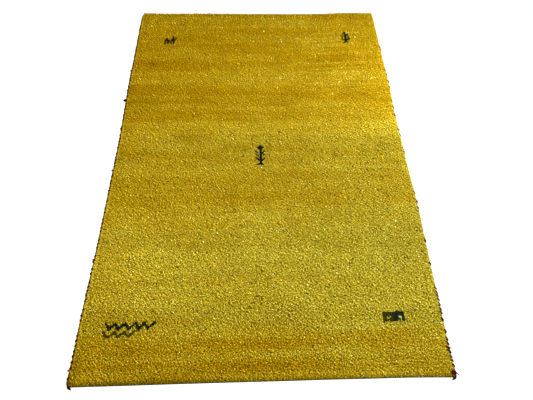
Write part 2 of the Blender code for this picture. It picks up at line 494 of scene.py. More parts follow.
NAVY_TURNS = (
    (2.4, 0.8), (4.7, 4.4), (8.9, 0.6), (11.3, 4.5), (15.8, 0.6), (18.8, 4.5),
    (23.3, 0.4), (25.7, 4.4), (29.4, 0.4), (32.2, 4.4), (36.5, 0.2),
)
OLIVE_TURNS = (
    (1.3, 0.3), (2.9, 3.2), (6.0, 3.3), (9.5, 0.5), (11.4, 3.4), (12.6, 3.4),
    (16.4, 0.6), (18.7, 3.3), (19.9, 3.3), (23.2, 0.2),
)

MOTIFS = (
    Motif(-0.0004, -0.0235, MIDDLE_TREE, 1.4),
    Motif(0.436, 0.702, FAR_TREE, 1.4),
    Motif(-0.437, 0.688, ANIMAL),
    Motif(0.4325, -0.704, SQUARES),
    Zigzag(-0.4350, -0.720, "n", NAVY_TURNS),
    Zigzag(-0.4655, -0.7434, "o", OLIVE_TURNS, 1.8, 1.1),
)


def read_table(table: tuple, column: str, at: np.ndarray) -> np.ndarray:
    """Reads a table on a smooth curve through its rows: cubic Hermite pieces.

    Args:
        table: Rows whose first value is the place.
        column: The name of the value that is read.
        at: The places where it is read.

    Returns:
        The value at each place.
    """
    places = np.array([row[0] for row in table])
    values = np.array([getattr(row, column) for row in table])
    slopes = np.gradient(values, places)
    at = np.clip(at, places[0], places[-1])
    low = np.clip(np.searchsorted(places, at) - 1, 0, len(places) - 2)
    span = places[low + 1] - places[low]
    t = (at - places[low]) / span
    start = (1 + 2 * t) * (1 - t) ** 2
    end = t * t * (3 - 2 * t)
    leave = t * (1 - t) ** 2 * span
    arrive = t * t * (t - 1) * span
    return start * values[low] + end * values[low + 1] + leave * slopes[low] + arrive * slopes[low + 1]


@dataclass(frozen=True)
class SoftNoise:
    """Soft hills from -1 to 1: random numbers on a lattice, joined by smoothstep curves."""

    seed: int
    step_x: float
    step_y: float
    lattice: int = 512

    def at(self, x: np.ndarray, y: np.ndarray) -> np.ndarray:
        """Reads the hills at places on the rug.

        Args:
            x: Places across the rug.
            y: Places along it.

        Returns:
            The height at each place, from -1 to 1.
        """
        heights = np.random.default_rng(self.seed).uniform(-1, 1, (self.lattice, self.lattice))
        u = x / self.step_x + self.lattice / 2
        v = y / self.step_y + self.lattice / 2
        i = np.floor(u).astype(int)
        j = np.floor(v).astype(int)
        s = u - i
        t = v - j
        s = s * s * (3 - 2 * s)
        t = t * t * (3 - 2 * t)
        i, j = i % self.lattice, j % self.lattice
        i_next, j_next = (i + 1) % self.lattice, (j + 1) % self.lattice
        near = heights[i, j] * (1 - s) + heights[i_next, j] * s
        far = heights[i, j_next] * (1 - s) + heights[i_next, j_next] * s
        return near * (1 - t) + far * t


FLECKS = SoftNoise(45, 0.0100, 0.0036)
FLECK_GAP = 0.0064
BESIDE_SHARE = 0.28
ASLANT_SHARE = 0.10


def combed(x: np.ndarray, y: np.ndarray) -> np.ndarray:
    """Fine flecks that lie along the pile's lean: soft hills, less the same hills a little to the
    side, so that light and dark lie beside each other. They are partly uneven wool and partly
    painted highlight and shade, as the same flecks also raise and sink the pile's tips.

    Args:
        x: Places across the rug.
        y: Places along it.

    Returns:
        The flecks' tone at each place, about from -1 to 1.
    """
    lean = math.radians(PILE_LIE_DEGREES)
    along = x * math.cos(lean) + y * math.sin(lean)
    across = y * math.cos(lean) - x * math.sin(lean)
    return FLECKS.at(along, across) - FLECKS.at(along, across + FLECK_GAP)


def against_neighbours(noise: np.ndarray) -> np.ndarray:
    """Noise less some of the noise of the knots around each knot, so that neighbours differ.

    The knots behind to the left and before to the right lie along the pile's lean, and take
    a share of their own.

    Args:
        noise: Random numbers by column and row.

    Returns:
        The noise with its neighbours' shares taken off.
    """
    beside = sum(np.roll(noise, step, axis=(0, 1)) for step in ((1, 0), (-1, 0), (0, 1), (0, -1)))
    aslant = np.roll(noise, (1, 1), axis=(0, 1)) + np.roll(noise, (-1, -1), axis=(0, 1))
    return noise - BESIDE_SHARE * beside - ASLANT_SHARE * aslant


def widened(mask: np.ndarray, reach: int) -> np.ndarray:
    """A mask grown to all sides by a number of knots."""
    steps = range(-reach, reach + 1)
    return np.any([np.roll(mask, (i, j), axis=(0, 1)) for i in steps for j in steps], axis=0)


@dataclass(frozen=True)
class RugOutline:
    """The rug's nominal rectangle and the way its edges, corners and top depart from it."""

    width: float = 1.2
    length: float = 1.8
    thickness: float = 0.015
    ground_thickness: float = 0.003
    lump_height: float = 0.0005
    lump_length: float = 0.31
    sharpest_round: float = 0.0005

    def make_uneven(self, x: np.ndarray, y: np.ndarray) -> tuple[np.ndarray, np.ndarray]:
        """Moves places of the rectangle by the reach of the nearer edges, in proportion to how
        far out they lie.

        Args:
            x: Places across the true rectangle.
            y: Places along it.

        Returns:
            The places on the uneven rug.
        """
        across = x / (self.width / 2)
        along = y / (self.length / 2)
        side = np.where(
            across > 0, read_table(SIDE_REACH, "right", y), read_table(SIDE_REACH, "left", y)
        )
        end = np.where(along > 0, read_table(END_REACH, "far", x), read_table(END_REACH, "near", x))
        return x + across * side, y + along * end

    def round_corners(
        self, x: np.ndarray, y: np.ndarray, inset: float
    ) -> tuple[np.ndarray, np.ndarray]:
        """Draws places outside a corner's quarter ellipse in along the line to its middle.

        Args:
            x: Places across the true rectangle.
            y: Places along it.
            inset: How far inside the outline the ellipse lies.

        Returns:
            The places, all within the rounded corners.
        """
        x, y = x.copy(), y.copy()
        for corner in CORNERS:
            over_x = corner.side * x - (self.width / 2 - corner.round_x)
            over_y = corner.end * y - (self.length / 2 - corner.round_y)
            reach_x = max(corner.round_x - inset, self.sharpest_round)
            reach_y = max(corner.round_y - inset, self.sharpest_round)
            ratio = np.hypot(np.maximum(over_x, 0) / reach_x, np.maximum(over_y, 0) / reach_y)
            outside = (over_x > 0) & (over_y > 0) & (ratio > 1)
            shrink = np.where(outside, 1 - 1 / np.maximum(ratio, 1), 0.0)
            x -= corner.side * over_x * shrink
            y -= corner.end * over_y * shrink
        return x, y

    def lumps(self, x: np.ndarray, y: np.ndarray) -> np.ndarray:
        """Three crossing sine waves, fading to nothing at the edges.

        Args:
            x: Places across the rug.
            y: Places along it.

        Returns:
            How far the pile's top stands above its even height.
        """
        turn = 2 * math.pi / self.lump_length
        waves = np.sin(turn * (x + 0.4 * y)) + np.sin(turn * (1.3 * y - 0.5 * x) + 1.0)
        waves = waves + np.sin(turn * (2.1 * x + 1.7 * y) + 2.0)
        to_side = np.clip(1 - np.abs(x) / (self.width / 2), 0, None)
        to_end = np.clip(1 - np.abs(y) / (self.length / 2), 0, None)
        return self.lump_height * waves * np.clip(8 * np.minimum(to_side, to_end), 0, 1)


@dataclass
class Surface:
    """Arrays of one mesh: its points with their colours, and its triangles with their places
    in the square that the finish is baked to."""

    points: np.ndarray
    colours: np.ndarray
    triangles: np.ndarray
    places: np.ndarray

    @classmethod
    def joined(cls, parts: list["Surface"], shares: list[float]) -> "Surface":
        """Stacks parts into one mesh, each with its own share of the square's height.

        Args:
            parts: The parts, in order.
            shares: The share of the square that each gets, 1 in all.

        Returns:
            One surface of all the parts.
        """
        first = np.cumsum([0] + [len(part.points) for part in parts[:-1]])
        floors = np.cumsum([0.0] + shares[:-1])
        placed = [
            part.places * (1.0, share) + (0.0, floor)
            for part, share, floor in zip(parts, shares, floors)
        ]
        return cls(
            np.concatenate([part.points for part in parts]),
            np.concatenate([part.colours for part in parts]),
            np.concatenate([part.triangles + start for part, start in zip(parts, first)]),
            np.concatenate(placed),
        )

    def volume(self) -> float:
        """Six times the signed volume that the triangles enclose: above 0 if they face out."""
        a, b, c = (self.points[self.triangles[:, i]] for i in range(3))
        return float(np.einsum("ij,ij->", a, np.cross(b, c)))

    def facing_out(self) -> "Surface":
        """Turns the triangles round if they face in.

        Returns:
            The surface, whose triangles face out.
        """
        if self.volume() > 0:
            return self
        return Surface(self.points, self.colours, self.triangles[:, ::-1], self.places[:, ::-1])

    def make_object(self, name: str, material: bpy.types.Material, slot: str) -> bpy.types.Object:
        """Puts the arrays into a smooth mesh object that rides on the rug.

        Args:
            name: The piece's name.
            material: Its finish.
            slot: The record's material slot; not used.

        Returns:
            The finished piece.
        """
        triangles, places = self.triangles, self.places
        mesh = bpy.data.meshes.new(name)
        mesh.vertices.add(len(self.points))
        mesh.vertices.foreach_set("co", self.points.astype(np.float32).ravel())
        mesh.loops.add(triangles.size)
        mesh.loops.foreach_set("vertex_index", triangles.astype(np.int32).ravel())
        mesh.polygons.add(len(triangles))
        mesh.polygons.foreach_set("loop_start", np.arange(0, triangles.size, 3, dtype=np.int32))
        mesh.update(calc_edges=True)
        wool = mesh.attributes.new(WOOL, "FLOAT_COLOR", "POINT")
        shades = np.column_stack([self.colours, np.ones(len(self.colours))])
        wool.data.foreach_set("color", shades.astype(np.float32).ravel())
        bake_map = mesh.uv_layers.new(name=BAKE_MAP)
        bake_map.data.foreach_set("uv", places.astype(np.float32).ravel())
        mesh.shade_smooth()
        mesh.materials.append(material)
        piece = bpy.data.objects.new(name, mesh)
        bpy.context.scene.collection.objects.link(piece)
        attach(piece, BODY)
        return piece


def spindles(
    roots: np.ndarray, rings: np.ndarray, tips: np.ndarray, root_colours: np.ndarray,
    ring_colours: np.ndarray, tip_colours: np.ndarray,
) -> Surface:
    """Closed spindles: each runs from a root point over a ring of four points to a tip point.

    In the bake's square each spindle has a cell, with its tip in the middle, its ring at the
    middles of the cell's sides, and its root at all four corners.

    Args:
        roots: The root of each spindle.
        rings: The four ring points of each, counterclockwise from above.
        tips: The tip of each.
        root_colours: The colour of each root.
        ring_colours: The colour of each ring.
        tip_colours: The colour of each tip.

    Returns:
        All the spindles as one surface.
    """
    count = len(roots)
    points = np.concatenate([roots[:, None], rings, tips[:, None]], axis=1).reshape(-1, 3)
    colours = np.stack([root_colours] + [ring_colours] * 4 + [tip_colours], axis=1).reshape(-1, 3)
    turn = np.arange(4)
    after = (turn + 1) % 4
    upper = np.stack([1 + turn, 1 + after, np.full(4, 5)], axis=1)
    lower = np.stack([1 + after, 1 + turn, np.zeros(4, int)], axis=1)
    pattern = np.concatenate([upper, lower])
    triangles = (6 * np.arange(count)[:, None, None] + pattern[None]).reshape(-1, 3)

    side = np.array([(1.0, 0.5), (0.5, 1.0), (0.0, 0.5), (0.5, 0.0)])
    corner = np.array([(1.0, 1.0), (0.0, 1.0), (0.0, 0.0), (1.0, 0.0)])
    middle = np.full((4, 2), 0.5)
    cell = np.concatenate(
        [np.stack([side, side[after], middle], axis=1), np.stack([side[after], side, corner], axis=1)]
    )
    grid = math.ceil(math.sqrt(count))
    number = np.arange(count)
    origin = np.stack([number % grid, number // grid], axis=1)
    places = ((origin[:, None, None, :] + cell[None]) / grid).reshape(-1, 3, 2)
    return Surface(points, colours, triangles, places)


def closed_tube(rings: np.ndarray, colours: np.ndarray) -> Surface:
    """A profile carried along a path: rings of points joined by quads, each cut into two
    triangles, with both ends closed by a fan around the middle of the last ring.

    In the bake's square the tube is folded into rows, and the fans lie in a row of their own.

    Args:
        rings: The points, by ring and by place round the ring.
        colours: The colour of each of these points.

    Returns:
        The closed tube.
    """
    count, sides = rings.shape[:2]
    ring, side = (part.ravel() for part in np.indices((count - 1, sides)))
    after = (side + 1) % sides
    a, b = ring * sides + side, ring * sides + after
    c, d = a + sides, b + sides
    wall = np.stack([a, b, d, a, d, c], axis=1).reshape(-1, 3)
    turn = np.arange(sides)
    turn_after = (turn + 1) % sides
    last = (count - 1) * sides
    middle = np.full(sides, count * sides)
    near_cap = np.stack([middle, turn_after, turn], axis=1)
    far_cap = np.stack([middle + 1, last + turn, last + turn_after], axis=1)

    folds = max(1, round(math.sqrt((count - 1) / sides)))
    in_row = math.ceil((count - 1) / folds)
    left = (ring % in_row) / in_row
    right = left + 1 / in_row
    low = (ring // in_row + side / sides) / (folds + 1)
    high = (ring // in_row + (side + 1) / sides) / (folds + 1)
    corners = [(left, low), (left, high), (right, high), (left, low), (right, high), (right, low)]
    wall_places = np.stack([np.stack(corner, axis=1) for corner in corners], axis=1).reshape(-1, 3, 2)
    step = 1 / (2 * sides)
    cells = np.arange(2 * sides) * step
    floor = np.full(2 * sides, folds / (folds + 1))
    fan = [(cells, floor), (cells + step, floor), (cells + step / 2, floor + 1 / (folds + 1))]
    fan_places = np.stack([np.stack(corner, axis=1) for corner in fan], axis=1)
    return Surface(
        np.concatenate([rings.reshape(-1, 3), [rings[0].mean(axis=0), rings[-1].mean(axis=0)]]),
        np.concatenate([colours.reshape(-1, 3), [colours[0].mean(axis=0), colours[-1].mean(axis=0)]]),
        np.concatenate([wall, near_cap, far_cap]),
        np.concatenate([wall_places, fan_places]),
    ).facing_out()


class WoolShader:
    """A new material, whose shader takes the wool's own dye and the pattern of a finish."""

    gloss = 0.01

    def __init__(self, name: str, roughness: float) -> None:
        """Makes the material, matt and almost without gloss.

        Args:
            name: The material's name.
            roughness: How rough its surface is.
        """
        self.material = bpy.data.materials.new(name)
        self.material.use_nodes = True
        self.shader = self.material.node_tree.nodes["Principled BSDF"]
        self.set_inputs(self.shader, {"Roughness": roughness, "Specular IOR Level": self.gloss})

    def set_inputs(self, node: bpy.types.Node, values: dict[str, float | tuple[float, ...]]) -> None:
        """Sets a node's inputs.

        Args:
            node: The node.
            values: The value of each input, by the input's name.
        """
        for name, value in values.items():
            node.inputs[name].default_value = value

    def add(self, kind: str, operation: str = "") -> bpy.types.Node:
        """Adds a node to the material.

        Args:
            kind: The node's type.
            operation: What it works out, for a node that has several operations.

        Returns:
            The new node.
        """
        node = self.material.node_tree.nodes.new(kind)
        if operation:
            node.operation = operation
        return node

    def join(self, source: bpy.types.NodeSocket, target: bpy.types.NodeSocket) -> None:
        """Links one node's output to another node's input."""
        self.material.node_tree.links.new(source, target)

    def shade_dye(
        self, pattern: bpy.types.NodeSocket, low: float, high: float, contrast: float
    ) -> None:
        """Colours the surface: the dye times 1 - contrast where the pattern is low, times
        1 + contrast where it is high, and in proportion between.

        Args:
            pattern: The pattern's value.
            low: The value that counts as low.
            high: The value that counts as high.
            contrast: How much lighter and darker the dye gets.
        """
        strength = self.add("ShaderNodeMapRange")
        ends = {"From Min": low, "From Max": high, "To Min": 1 - contrast, "To Max": 1 + contrast}
        self.set_inputs(strength, ends)
        dye = self.add("ShaderNodeAttribute")
        dye.attribute_name = WOOL
        shade = self.add("ShaderNodeVectorMath", "SCALE")
        self.join(pattern, strength.inputs["Value"])
        self.join(dye.outputs["Color"], shade.inputs[0])
        self.join(strength.outputs["Result"], shade.inputs["Scale"])
        self.join(shade.outputs["Vector"], self.shader.inputs["Base Color"])

    def raise_surface(self, pattern: bpy.types.NodeSocket, depth: float) -> None:
        """Raises the surface as bump where the pattern is high.

        Args:
            pattern: The pattern's value.
            depth: How high a value of 1 stands.
        """
        bump = self.add("ShaderNodeBump")
        bump.inputs["Distance"].default_value = depth
        self.join(pattern, bump.inputs["Height"])
        self.join(bump.outputs["Normal"], self.shader.inputs["Normal"])


@dataclass(frozen=True)
class WoolFinish:
    """Matt wool: its own dye, made uneven by fine fibres that also raise its surface."""

    name: str
    fibre_length: float
    fibre_width: float
    fibre_contrast: float
    fibre_depth: float
    lie: float = PILE_LIE_DEGREES
    roughness: float = 0.9
    sheen: float = 0.12
    sheen_roughness: float = 0.45
    sheen_tint: Colour = (1.0, 0.80, 0.03)
    thin_fibre: float = 0.25
    thick_fibre: float = 0.75

    def material(self) -> bpy.types.Material:
        """The dye of the wool attribute, times a noise of fibres, with the same noise as bump.

        Returns:
            The finished material.
        """
        wool = WoolShader(self.name, self.roughness)
        sheen_tint = (*self.sheen_tint, 1.0)
        sheen = {"Sheen Weight": self.sheen, "Sheen Roughness": self.sheen_roughness}
        wool.set_inputs(wool.shader, {**sheen, "Sheen Tint": sheen_tint})
        place = wool.add("ShaderNodeTexCoord")
        turned = wool.add("ShaderNodeMapping")
        turned.vector_type = "TEXTURE"
        fibre = (self.fibre_length, self.fibre_width, self.fibre_width)
        wool.set_inputs(turned, {"Rotation": (0.0, 0.0, math.radians(self.lie)), "Scale": fibre})
        fibres = wool.add("ShaderNodeTexNoise")
        wool.set_inputs(fibres, {"Scale": 1.0, "Detail": 2.0})
        wool.join(place.outputs["Object"], turned.inputs["Vector"])
        wool.join(turned.outputs["Vector"], fibres.inputs["Vector"])
        wool.shade_dye(fibres.outputs["Fac"], self.thin_fibre, self.thick_fibre, self.fibre_contrast)
        wool.raise_surface(fibres.outputs["Fac"], self.fibre_depth)
        return wool.material


@dataclass(frozen=True)
class KnotBackFinish:
    """The woven back: rows of knot backs between wefts, each knot a little lighter or darker."""

    name: str
    pitch: float
    depth: float = 0.0006
    contrast: float = 0.22
    roughness: float = 0.92

    def material(self) -> bpy.types.Material:
        """The dye attribute times white noise by knot, dark where two sine ridges meet.

        Returns:
            The finished material.
        """
        wool = WoolShader(self.name, self.roughness)
        place = wool.add("ShaderNodeTexCoord").outputs["Object"]
        in_knots = wool.add("ShaderNodeVectorMath", "SCALE")
        in_knots.inputs["Scale"].default_value = 1 / self.pitch
        whole = wool.add("ShaderNodeVectorMath", "FLOOR")
        lot = wool.add("ShaderNodeTexWhiteNoise")
        lot.noise_dimensions = "2D"
        wool.join(place, in_knots.inputs[0])
        wool.join(in_knots.outputs["Vector"], whole.inputs[0])
        wool.join(whole.outputs["Vector"], lot.inputs["Vector"])
        wool.shade_dye(lot.outputs["Value"], 0.0, 1.0, self.contrast)

        in_turns = wool.add("ShaderNodeVectorMath", "SCALE")
        in_turns.inputs["Scale"].default_value = math.pi / self.pitch
        ridges = wool.add("ShaderNodeVectorMath", "SINE")
        split = wool.add("ShaderNodeSeparateXYZ")
        grid = wool.add("ShaderNodeMath", "MULTIPLY")
        round_knots = wool.add("ShaderNodeMath", "ABSOLUTE")
        wool.join(place, in_turns.inputs[0])
        wool.join(in_turns.outputs["Vector"], ridges.inputs[0])
        wool.join(ridges.outputs["Vector"], split.inputs["Vector"])
        wool.join(split.outputs["X"], grid.inputs[0])
        wool.join(split.outputs["Y"], grid.inputs[1])
        wool.join(grid.outputs["Value"], round_knots.inputs[0])
        wool.raise_surface(round_knots.outputs["Value"], self.depth)
        return wool.material


@dataclass(frozen=True)
class FieldDyeing:
    """The colours of the field: bands of yarn lots, streaks, mottling, stains, painted shade at the
    near end, painted light across the bands, and motifs.
    """

    edge_blend: float = 0.007
    wander: float = 0.010
    streak_length: float = 0.16
    row_height: float = 0.0045
    mottle: float = 0.34
    hue_mottle: float = 0.10
    fleck: float = 0.22
    far_mottle: float = 0.5
    highlight: float = 0.5
    darkest: float = 0.3
    paling: Colour = (1.0, 1.20, 3.0)
    straw_power: Colour = (1.0, 1.0, 1.8)
    thin_streaks: float = 0.9
    broad_streaks: float = 1.3
    streak_hue: float = 2.2
    patch_hue: float = 0.10
    patch_value: float = 0.05
    pale_share: float = 0.004
    motif_mottle: float = 0.22
    seed: int = 31

    def read_bands(self, column: str, y: np.ndarray) -> np.ndarray:
        """A band's value with short soft blends where one lot of yarn gives way to the next.

        Args:
            column: The name of the band's value.
            y: Places along the rug.

        Returns:
            The value at each place.
        """
        values = [getattr(band, column) for band in BANDS]
        read = np.full(y.shape, values[0])
        for band, below, above in zip(BANDS[1:], values, values[1:]):
            share = np.clip((y - band.start) / self.edge_blend + 0.5, 0, 1)
            read = read + (above - below) * share
        return read

    def field(self, x: np.ndarray, y: np.ndarray) -> np.ndarray:
        """Mixes ochre and straw by band, then lightens and darkens by streak, knot, stains and
        painted shade, and by painted light that changes across each band.

        A knot's own tone stands out more when dark than when light. It is raised to a power
        in each channel, as lighter wool is also paler.

        Args:
            x: Places across the rug.
            y: Places along it.

        Returns:
            Linear red, green and blue at each place.
        """
        chance = np.random.default_rng(self.seed)
        wandered = y + self.wander * SoftNoise(41, 0.10, 0.05).at(x, y)
        thin = SoftNoise(42, self.streak_length, self.row_height).at(x, y)
        broad = SoftNoise(43, 2.2 * self.streak_length, 4 * self.row_height).at(x, y)
        patch = SoftNoise(44, 0.13, 0.09).at(x, y)
        streak = self.thin_streaks * thin + self.broad_streaks * broad
        streak = self.read_bands("streaks", wandered) * streak
        straw = self.read_bands("straw", wandered) + self.streak_hue * streak + self.patch_hue * patch
        straw = straw + self.read_bands("straw_tilt", y) * x
        straw = np.clip(straw + self.hue_mottle * chance.normal(size=x.shape), 0, 1)[..., None]
        straw = straw ** np.array(self.straw_power)
        colour = np.array(Dye.OCHRE.value) * (1 - straw) + np.array(Dye.STRAW.value) * straw
        value = self.read_bands("value", wandered) * (1 + streak + self.patch_value * patch)
        # Painted light and shade: each band lighter or darker for each metre to the right.
        value = value * (1 + self.read_bands("painted_light_tilt", y) * x)
        uneven = against_neighbours(chance.normal(size=x.shape))
        uneven = self.mottle * uneven * (1 + self.far_mottle * np.clip(y, 0, 1))
        # The flecks lighten the tips that they raise and darken those they sink: partly painted
        # highlight and shade.
        tone = (1 + self.fleck * combed(x, y)) * np.exp(uneven)
        tone = np.where(tone > 1, 1 + self.highlight * (tone - 1), np.maximum(tone, self.darkest))
        colour = colour * tone[..., None] ** np.array(self.paling)
        # Stains, and painted shade at the near end.
        for dark_patch in STAINS_AND_PAINTED_SHADE:
            far = np.hypot((x - dark_patch.x) / dark_patch.reach_x, (y - dark_patch.y) / dark_patch.reach_y)
            ragged = np.exp(-far * far) * (0.7 + 0.6 * chance.uniform(size=x.shape))
            value = value * (1 - dark_patch.depth * ragged)
        colour = colour * value[..., None]
        # Dark specks, partly painted shade of the gaps between tufts.
        speckled = chance.uniform(size=x.shape) < self.read_bands("specks", wandered)
        colour = np.where(speckled[..., None], np.array(Dye.SPECK_AND_GAP_SHADE.value), colour)
        pale = chance.uniform(size=x.shape) < self.pale_share * (0.4 + self.read_bands("straw", y))
        return np.where(pale[..., None], 0.4 * colour + 0.6 * np.array(Dye.PALE.value), colour)

    def knot_motifs(self, x: np.ndarray, y: np.ndarray, colours: np.ndarray) -> np.ndarray:
        """Dyes the knots of each motif, whose chart is laid on the nearest columns and rows.

        Args:
            x: The columns' places across the rug, in order.
            y: The rows' places along it, in order.
            colours: The field's colours by column and row, changed in place.

        Returns:
            For each knot of a motif how wide it spreads, and 0 for the others.
        """
        chance = np.random.default_rng(self.seed + 1)
        spread = np.zeros(colours.shape[:2])
        for motif in MOTIFS:
            letters = motif.letters()
            tall, wide = letters.shape
            first = int(np.argmin(np.abs(x - motif.x))) - wide // 2
            lowest = int(np.argmin(np.abs(y - motif.y))) - tall // 2
            window = (slice(first, first + wide), slice(lowest, lowest + tall))
            for letter, dye in DYE_LETTERS.items():
                chosen = (letters == letter).T
                uneven = np.exp(self.motif_mottle * chance.normal(size=(int(chosen.sum()), 1)))
                colours[window][chosen] = np.array(dye.value) * uneven
                spread[window][chosen] = motif.spread
        return spread


@dataclass
class KnottedPile:
    """The pile: one spindle for each knot, in six strips that lie side by side."""

    outline: RugOutline
    dyeing: FieldDyeing
    finish: WoolFinish
    pitch: float = 0.00455
    strips: int = 6
    rim_reach: float = 3.0
    ring_share: float = 0.82
    root_bow: float = 1.4
    ring_radius: float = 0.56
    ring_length: float = 1.25
    ring_width: float = 0.84
    ring_turn: float = 0.30
    ring_wobble: float = 0.0004
    ring_tilt: float = -0.7
    edge_ring: float = 0.8
    edge_width: float = 0.010
    edge_fade: float = 0.020
    edge_freedom: float = 0.15
    root_height: float = 0.8
    root_margin: float = 0.0075
    tip_margin: float = 0.0014
    root_painted_shade: float = 0.45
    ring_painted_shade: float = 0.93
    tip_painted_highlight: float = 1.05
    lean_x: float = 0.0026
    lean_y: float = -0.0031
    lean_change: float = 0.7
    clump: float = 0.0010
    clump_size: float = 0.0085
    root_jitter: float = 0.0006
    tip_jitter: float = 0.0007
    height_jitter: float = 0.0006
    fleck_height: float = 0.0009
    pinch: float = 0.0050
    pinch_drop: float = 0.0030
    pinch_reach: float = 0.0155
    pinch_fade: float = 0.005
    left_pinch: float = 0.4
    motif_rise: float = 0.0016
    motif_unrest: float = 0.45
    seed: int = 7

    def half_lines(self, half: float, rim: tuple[RimRow, ...]) -> np.ndarray:
        """Lines of knots from one edge to the middle: the rim's, then even steps inwards.

        Args:
            half: Half of the rug's width or length.
            rim: The rows of knots beside that edge.

        Returns:
            For each line its root's and its tip's distance from the middle, its tip's height,
            and its painted shade.
        """
        last = rim[-1]
        count = round((half - last.root_inset) / self.pitch - 0.5)
        number = np.arange(1, count + 1)
        inner = last.root_inset + (half - last.root_inset) / (count + 0.5) * number
        tips = inner - (last.root_inset - last.tip_inset) * np.exp(-number / self.rim_reach)
        even = np.ones(count)
        field = np.stack([half - inner, half - tips, last.tip_height * even, last.shade * even])
        edge = np.array(rim).T
        return np.concatenate([np.vstack([half - edge[:2], edge[2:]]), field], axis=1)

    def lines(
        self, length: float, low_rim: tuple[RimRow, ...], high_rim: tuple[RimRow, ...]
    ) -> np.ndarray:
        """Lines of knots from edge to edge.

        Args:
            length: The rug's width or length.
            low_rim: The rows of knots beside the left or near edge.
            high_rim: The rows of knots beside the right or far edge.

        Returns:
            For each line its root's and its tip's place, its tip's height, and its painted shade.
        """
        low = self.half_lines(length / 2, low_rim) * np.array([[-1], [-1], [1], [1]])
        high = self.half_lines(length / 2, high_rim)[:, ::-1]
        return np.concatenate([low, high], axis=1)

    def columns(self) -> np.ndarray:
        """The lines of knots along the rug, from left to right."""
        return self.lines(self.outline.width, LEFT_RIM, RIGHT_RIM)

    def rows(self) -> np.ndarray:
        """The lines of knots across the rug, from near to far."""
        return self.lines(self.outline.length, NEAR_RIM, FAR_RIM)

    def pinched(self, x: np.ndarray, y: np.ndarray) -> np.ndarray:
        """How much each wrap of the side cords draws in the pile beside it, from 0 to 1.

        Args:
            x: Root places across the rug.
            y: Root places along it.

        Returns:
            1 at a wrap beside the cord, falling to 0 between wraps and away from the edge.
        """
        from_start = y + self.outline.length / 2 + OvercastSide.ear_length
        wave = 0.5 - 0.5 * np.cos(2 * math.pi * from_start / OvercastSide.wrap_pitch)
        inset = self.outline.width / 2 - np.abs(x)
        beside = np.clip((self.pinch_reach - inset) / self.pinch_fade, 0, 1)
        left_shown = self.left_pinch * wrap_show(-1, from_start)
        shown = np.where(x > 0, wrap_show(1, from_start), left_shown)
        return beside * shown * wave

    def surface(self, columns: slice) -> Surface:
        """The spindles of some columns of knots.

        A knot's root lies on the ground. Its tip is carried outwards near an edge, leans with
        the pile, and joins its neighbours in soft clumps. Its ring of four points lies across
        the line between them, longer along the lean.

        Args:
            columns: The columns, counted from the left.

        Returns:
            The strip's surface.
        """
        outline = self.outline
        line_x, tip_x, high_x, painted_shade_x = self.columns()
        line_y, tip_y, high_y, painted_shade_y = self.rows()
        grid_x, grid_y = np.meshgrid(line_x, line_y, indexing="ij")
        colour = self.dyeing.field(grid_x, grid_y)
        # Painted shade on the rows beside each edge.
        colour *= np.minimum(painted_shade_x[:, None], painted_shade_y[None, :])[..., None]
        spread = self.dyeing.knot_motifs(line_x, line_y, colour)
        marked = spread > 0

        chance = np.random.default_rng(self.seed)
        shape = grid_x.shape
        jitter = chance.normal(size=(6, *shape)).clip(-2, 2)
        unrest = np.where(widened(marked, 2), self.motif_unrest, 1.0)
        inset = np.minimum(outline.width / 2 - np.abs(grid_x), outline.length / 2 - np.abs(grid_y))
        free = np.clip((inset - self.edge_width) / self.edge_fade, self.edge_freedom, 1) * unrest
        way = SoftNoise(51, 0.045, 0.045).at(grid_x, grid_y)
        slope = SoftNoise(52, 0.060, 0.060).at(grid_x, grid_y)
        clump_x = SoftNoise(53, self.clump_size, self.clump_size).at(grid_x, grid_y)
        clump_y = SoftNoise(54, self.clump_size, self.clump_size).at(grid_x, grid_y)
        lean_x = self.lean_x * (1 + self.lean_change * way)
        lean_y = self.lean_y * (1 + self.lean_change * slope)
        top_x = tip_x[:, None] + free * (lean_x + self.clump * clump_x + self.tip_jitter * jitter[0])
        top_y = tip_y[None, :] + free * (lean_y + self.clump * clump_y + self.tip_jitter * jitter[1])
        pinched = self.pinched(grid_x, grid_y)
        top_x = top_x - np.sign(grid_x) * self.pinch * pinched
        high = np.minimum(high_x[:, None], high_y[None, :]) + outline.lumps(grid_x, grid_y)
        high = high + self.fleck_height * combed(grid_x, grid_y) * unrest
        high = high + self.height_jitter * jitter[2] * unrest - self.pinch_drop * pinched
        high = high + self.motif_rise * marked

        root_x = grid_x + self.root_jitter * jitter[3]
        root_y = grid_y + self.root_jitter * jitter[4]
        root_x, root_y = outline.round_corners(root_x, root_y, self.root_margin)
        root_x, root_y = outline.make_uneven(root_x, root_y)
        top_x, top_y = outline.round_corners(top_x, top_y, self.tip_margin)
        top_x, top_y = outline.make_uneven(top_x, top_y)
        root_z = np.full(shape, self.root_height * outline.ground_thickness)
        root = np.stack([root_x, root_y, root_z], axis=-1)
        tip = np.stack([top_x, top_y, high], axis=-1)
        bow = self.ring_share**self.root_bow
        centre = root + (tip - root) * np.array([bow, bow, self.ring_share])

